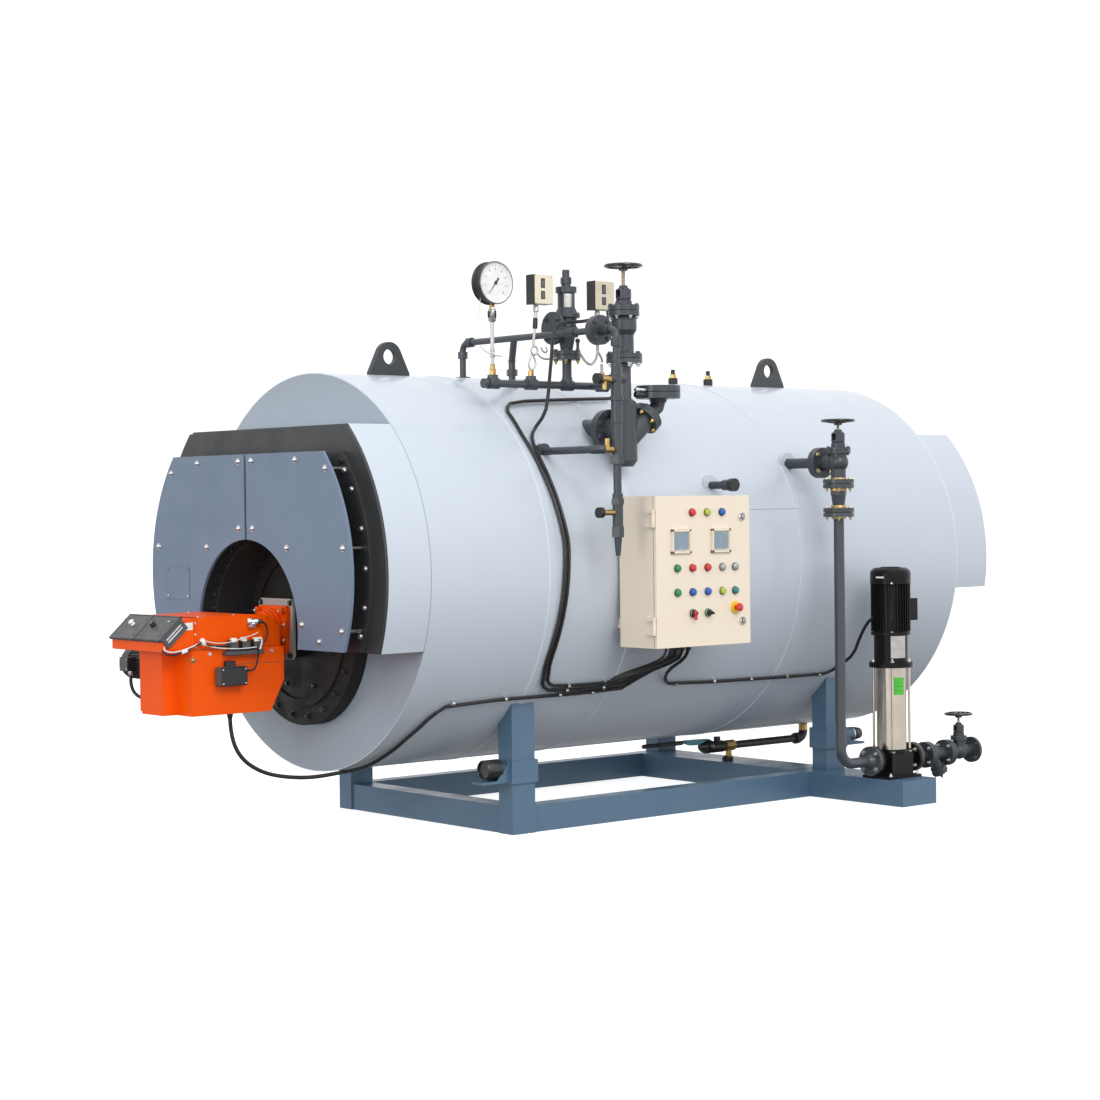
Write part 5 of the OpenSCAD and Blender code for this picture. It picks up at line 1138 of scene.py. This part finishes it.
@piece("burner_housing_details", "burner_orange")
def burner_housing_details(part):
    part.prism([(-1.662, 1.071), (-1.585, 1.074), (-1.585, 1.109), (-1.662, 1.106)], 0.0012, "label_white",
               Matrix.Translation((0, -0.23, 0)) @ Matrix.Rotation(math.pi / 2, 4, "X"))
    for s in SIDES:
        y = s * 0.2316
        part.box((-1.578, y - 0.0016, 0.978), (-1.567, y + 0.0016, 1.121), "orange", c=0.001)
        for z in (0.995, 1.05, 1.105):
            part.dome((-1.5725, s * 0.2332, z), (0, s, 0), 0.0042, "zinc", 0.003, 12)
        for x in (-1.70, -1.54, -1.34):
            part.dome((x, s * 0.205, housing_top(x)), UP, 0.0058, "zinc", 0.0042, 14)
    part.box((-1.5785, -0.2325, 1.1296), (-1.5665, 0.2325, 1.1332), "orange", c=0.001)
    part.box((-1.592, -0.2318, 0.9765), (-1.12, -0.2306, 0.9795), "seal_rubber_brown", c=0.0004)
    for x in (-1.50, -1.38, -1.26, -1.15):
        part.hexbolt((x, -0.2408, 0.955), NEAR, 0.0075, "zinc", spin=x * 9)
    part.box((-1.352, -0.2409, 0.898), (-1.105, -0.2401, 0.9005), "seal_rubber_brown", c=0.0003)
    part.dome((-1.592, -0.2402, 0.930), NEAR, 0.011, "brass", 0.012, 18)


@piece("burner_servo_and_coils", "burner_dark", replaces=["burner_fittings"])
def burner_servo_and_coils(part):
    part.box((-1.475, -0.29, 0.80), (-1.325, -0.2402, 0.892), "lid", c=0.006)
    part.box((-1.474, -0.302, 0.801), (-1.326, -0.2885, 0.891), "plastic", c=0.007)
    for x, z in itertools.product((-1.463, -1.337), (0.812, 0.880)):
        part.dome((x, -0.301, z), NEAR, 0.0045, "zinc", 0.003, 12)
    part.box((-1.425, -0.274, 0.888), (-1.375, -0.2402, 0.918), "plastic", c=0.003)
    part.lathe([(0.012, 0), (0.012, 0.012), (0.009, 0.02), (0.007, 0.024)], "plastic",
               at((-1.327, -0.268, 0.868), BACK), 16)
    part.box((-1.43, -0.286, 0.945), (-1.22, -0.2402, 0.967), "lid", c=0.003)
    for x in (-1.388, -1.322, -1.256):
        M = at((x, -0.2625, 0))
        part.lathe([(0.0235, 0.967), (0.0245, 0.970), (0.0245, 1.012), (0.0225, 1.0165)], "plastic", M, 32)
        part.box((x - 0.02, -0.290, 0.972), (x + 0.02, -0.276, 1.008), "lid", c=0.002)
        part.lathe([(0.0075, 1.015), (0.0075, 1.024), (0.0055, 1.0262)], "zinc", M, 6)
    for x, z in ((-1.402, 1.018), (-1.345, 1.02), (-1.275, 1.016)):
        part.box((x, -0.2905, z - 0.012), (x + 0.026, -0.262, z + 0.010), "label_white", c=0.004)
    part.lathe([(0.016, 0.0), (0.018, 0.004), (0.018, 0.018), (0.013, 0.022), (0.013, 0.034), (0.016, 0.036),
                (0.016, 0.05), (0.01, 0.054)], "zinc", at((-1.285, -0.235, 1.100), (1, -0.35, 0)), 24)
    part.disc(0.021, 0.02, "zinc", at((-1.262, -0.2375, 1.075), (0, -0.3, 1)), 6, 0.002)
    part.disc(0.010, 0.028, "plastic", at((-1.240, -0.252, 1.099), (1, -0.35, 0)), 16, 0.002)
    part.tube([(-1.222, -0.257, 1.099), (-1.20, -0.262, 1.09), (-1.185, -0.265, 1.05), (-1.20, -0.262, 1.0),
               (-1.255, -0.262, 0.97)], 0.0048, "cable")
    part.tube([(-1.262, -0.288, 1.0), (-1.258, -0.292, 0.962), (-1.262, -0.283, 0.90),
               (-1.275, -0.275, 0.868), (-1.303, -0.268, 0.868)], 0.0045, "cable")
    part.tube([(-1.262, -0.289, 1.018), (-1.25, -0.302, 1.028), (-1.243, -0.300, 1.0), (-1.25, -0.29, 0.968)],
              0.0045, "white_wire")


@piece("burner_wiring", "cable_rubber")
def burner_wiring(part):
    for r, mat, n, pts in (
            (0.0042, "cable", 8, [(-1.742, -0.232, 0.990), (-1.758, -0.244, 0.975), (-1.735, -0.252, 0.962),
                                  (-1.711, -0.25, 0.958), (-1.68, -0.252, 0.965), (-1.655, -0.254, 0.972)]),
            (0.0036, "white_wire", 8, [(-1.742, -0.232, 0.998), (-1.752, -0.246, 0.985),
                                       (-1.72, -0.256, 0.972), (-1.67, -0.258, 0.978),
                                       (-1.60, -0.252, 0.995), (-1.56, -0.252, 1.012)]),
            (0.0048, "cable", 8, [(-1.63, -0.254, 0.98), (-1.60, -0.25, 0.992), (-1.565, -0.254, 1.008),
                                  (-1.545, -0.255, 1.018)]),
            (0.006, "cable", 8, [(-1.53, -0.255, 1.005), (-1.50, -0.262, 0.992), (-1.46, -0.264, 0.99),
                                 (-1.43, -0.268, 0.992), (-1.408, -0.27, 0.992)]),
            (0.0022, "white_wire", 6, [(-1.54, -0.256, 1.022), (-1.49, -0.262, 1.008), (-1.44, -0.27, 1.004),
                                       (-1.395, -0.29, 1.012), (-1.335, -0.296, 1.03), (-1.29, -0.294, 1.038),
                                       (-1.255, -0.285, 1.05)]),
            (0.0026, "white_wire", 6, [(-1.53, -0.257, 1.0), (-1.48, -0.27, 0.984), (-1.41, -0.292, 0.978),
                                       (-1.34, -0.294, 0.976), (-1.27, -0.294, 0.98)])):
        part.tube(pts, r, mat, n)
    part.lathe([(0.007, 0), (0.009, 0.003), (0.009, 0.03), (0.006, 0.034)], "label_white",
               at((-1.662, -0.254, 0.97), (1, 0, 0.3)), 14)
    part.lathe([(0.009, 0), (0.0115, 0.003), (0.0115, 0.03), (0.008, 0.035)], "label_white",
               at((-1.553, -0.255, 1.03), (0.6, 0, -1)), 16)


@piece("burner_plate_bolts", "burner_orange")
def burner_plate_bolts(part):
    for s in SIDES:
        for z in (-0.13, 0.13):
            part.hexbolt((-0.965, s * 0.13, ARCH_Z + z), FRONT, 0.0125, "iron", h=0.010, spin=0.3 * s)
        for z in (-0.055, 0.02):
            part.hexbolt((-0.987, s * 0.098, ARCH_Z + z), FRONT, 0.0095, "zinc", h=0.007, spin=z * 30)
        part.lathe([(0.0075, 0), (0.0075, 0.01), (0.005, 0.013)], "zinc",
                   at((-1.0115, s * 0.105, ARCH_Z + 0.092), FRONT), 16)


@piece("fan_motor_details", "burner_dark")
def fan_motor_details(part):
    x, y, z = -1.45, 0.24, 0.88
    ribs = 28
    for k in range(ribs):
        part.box((0.0745, y + 0.024, -0.0014), (0.0835, y + 0.243, 0.0014), "plastic",
                 Matrix.Translation((x, 0, z)) @ Matrix.Rotation(TAU * (k + 0.5) / ribs, 4, "Y"), 0.0006)
    for a, u, v in ring_of(4, 0.084):
        part.hexbolt((x + u, y + 0.018, z + v), FAR, 0.007, "zinc", spin=a)
    part.box((-1.5705, y + 0.174, z - 0.031), (-1.5675, y + 0.25, z + 0.031), "lid", c=0.001)
    for dz, dy in itertools.product((-0.024, 0.024), (0.18, 0.244)):
        part.dome((-1.5705, y + dy, z + dz), FRONT, 0.0035, "zinc", 0.0025, 12)
    part.lathe([(0.013, 0), (0.013, 0.014), (0.0098, 0.022), (0.0085, 0.024)], "zinc",
               at((-1.54, y + 0.19, z - 0.034), DOWN), 16)
    part.tube([(-1.54, y + 0.19, z - 0.05), (-1.548, y + 0.18, 0.78), (-1.545, y + 0.15, 0.735),
               (-1.52, y + 0.10, 0.708), (-1.49, y + 0.04, 0.70), (-1.46, y - 0.005, 0.702)],
              0.0085, "cable", 10)


# Feed pump
@piece("pump_details", "pump_steel")
def pump_details(part):
    arc_plate(part, PUMP_X, PUMP_Y, 0.0868, 0.0935, -139, -84, 0.79, 0.91, "steel")
    for a, u, v in ring_of(4, 0.096):
        part.hexbolt((PUMP_X + u, PUMP_Y + v, 0.284), DOWN, 0.0125, "steel", spin=a)


@piece("pump_labels", "pump_steel")
def pump_labels(part):
    for r, a0, a1, z0, z1, mat in ((0.0805, -134, -82, 0.590, 0.684, "label_green"),
                                   (0.0808, -131, -85, 0.612, 0.615, "label_dark_green"),
                                   (0.0808, -131, -85, 0.634, 0.637, "label_dark_green"),
                                   (0.1103, -183, -157, 1.2235, 1.233, "label_white")):
        arc_plate(part, PUMP_X, PUMP_Y, r, None, a0, a1, z0, z1, mat, 12)


@piece("pump_motor_details", "pump_black")
def pump_motor_details(part):
    x, y = PUMP_X, PUMP_Y
    M = at((x, y, 1.278))
    part.lathe([(0.05, 0), (0.052, 0.002), (0.052, 0.003), (0.05, 0.0035)], "pump_black", M, 48)
    for k in range(10):
        bar = -0.0405 + 0.009 * k
        part.box((-0.045, bar - 0.0018, 0.0032), (0.045, bar + 0.0018, 0.0046), "plastic", M, 0.0004)
    for a, u, v in ring_of(4, 1.0):
        part.dome((x + 0.1095 * u, y + 0.1095 * v, 1.196), (u, v, 0), 0.0042, "zinc", 0.003, 12)
        part.hexbolt((x + 0.1 * u, y + 0.1 * v, 0.93), UP, 0.0085, "steel", h=0.006, washer=False, spin=a)
    part.box((x + 0.147, y - 0.042, 0.992), (x + 0.1505, y + 0.042, 1.104), "pump_black", c=0.001)
    part.lathe([(0.0125, 0), (0.0125, 0.014), (0.0095, 0.022), (0.008, 0.024)], "plastic",
               at((x + 0.12, y - 0.02, 0.988), DOWN), 16)


# Floor, sky and lights
def floor():
    me = bpy.data.meshes.new("studio_floor")
    s = 1500
    me.from_pydata([(-s, -s, 0), (s, -s, 0), (s, s, 0), (-s, s, 0)], [], [[0, 1, 2, 3]])
    m = Mat("floor_white", (0.45, 0.45, 0.45), rough=0.8, spec=0.1)
    m.set("Emission Color", (1, 1, 1, 1))
    m.set("Emission Strength", 0.84)
    me.materials.append(m.vary(0.4, 0.01).done())
    ob = add_object("studio_floor", me)
    ob.visible_diffuse = ob.visible_glossy = False


def sky():
    """Soft light from all round, dimmer from below and from the burner's far side."""
    world = bpy.data.worlds.new("studio_world")
    bpy.context.scene.world = world
    world.use_nodes = True
    t = world.node_tree
    way = add_node(t, "TexCoord", "Generated")

    def slope(direction, lo, hi, a, b):
        dot = add_node(t, "VectorMath", "Value", {0: way, 1: direction}, operation="DOT_PRODUCT")
        return smooth_range(t, dot, lo, hi, a, b)

    around = slope((0.80, -0.60, 0.0), -0.95, -0.25, 0.84, 1.03)
    height = slope((0.0, 0.0, 1.0), -0.5, 0.0, 0.22, 1.15)
    back = t.nodes["Background"]
    put(t, back.inputs["Color"], (0.985, 0.992, 1.0, 1))
    put(t, back.inputs["Strength"], add_node(t, "Math", 0, {0: around, 1: height}, operation="MULTIPLY"))
    bpy.context.scene.view_settings.view_transform = "Standard"


def area_light(name, p, target, size, power):
    light = bpy.data.lights.new(name, "AREA")
    light.shape = "RECTANGLE"
    light.size, light.size_y = size
    light.energy = power
    turn = (Vector(target) - Vector(p)).to_track_quat("-Z", "Y").to_matrix().to_4x4()
    add_object(name, light).matrix_world = Matrix.Translation(Vector(p)) @ turn


floor()
sky()
area_light("key_light", (-1.5, -8.5, 6.5), (0.8, 0, 1.2), (5, 3.5), 330)
area_light("front_light", (-9, -2.5, 2.6), (-0.8, 0, 1.2), (3.0, 3.0), 165)
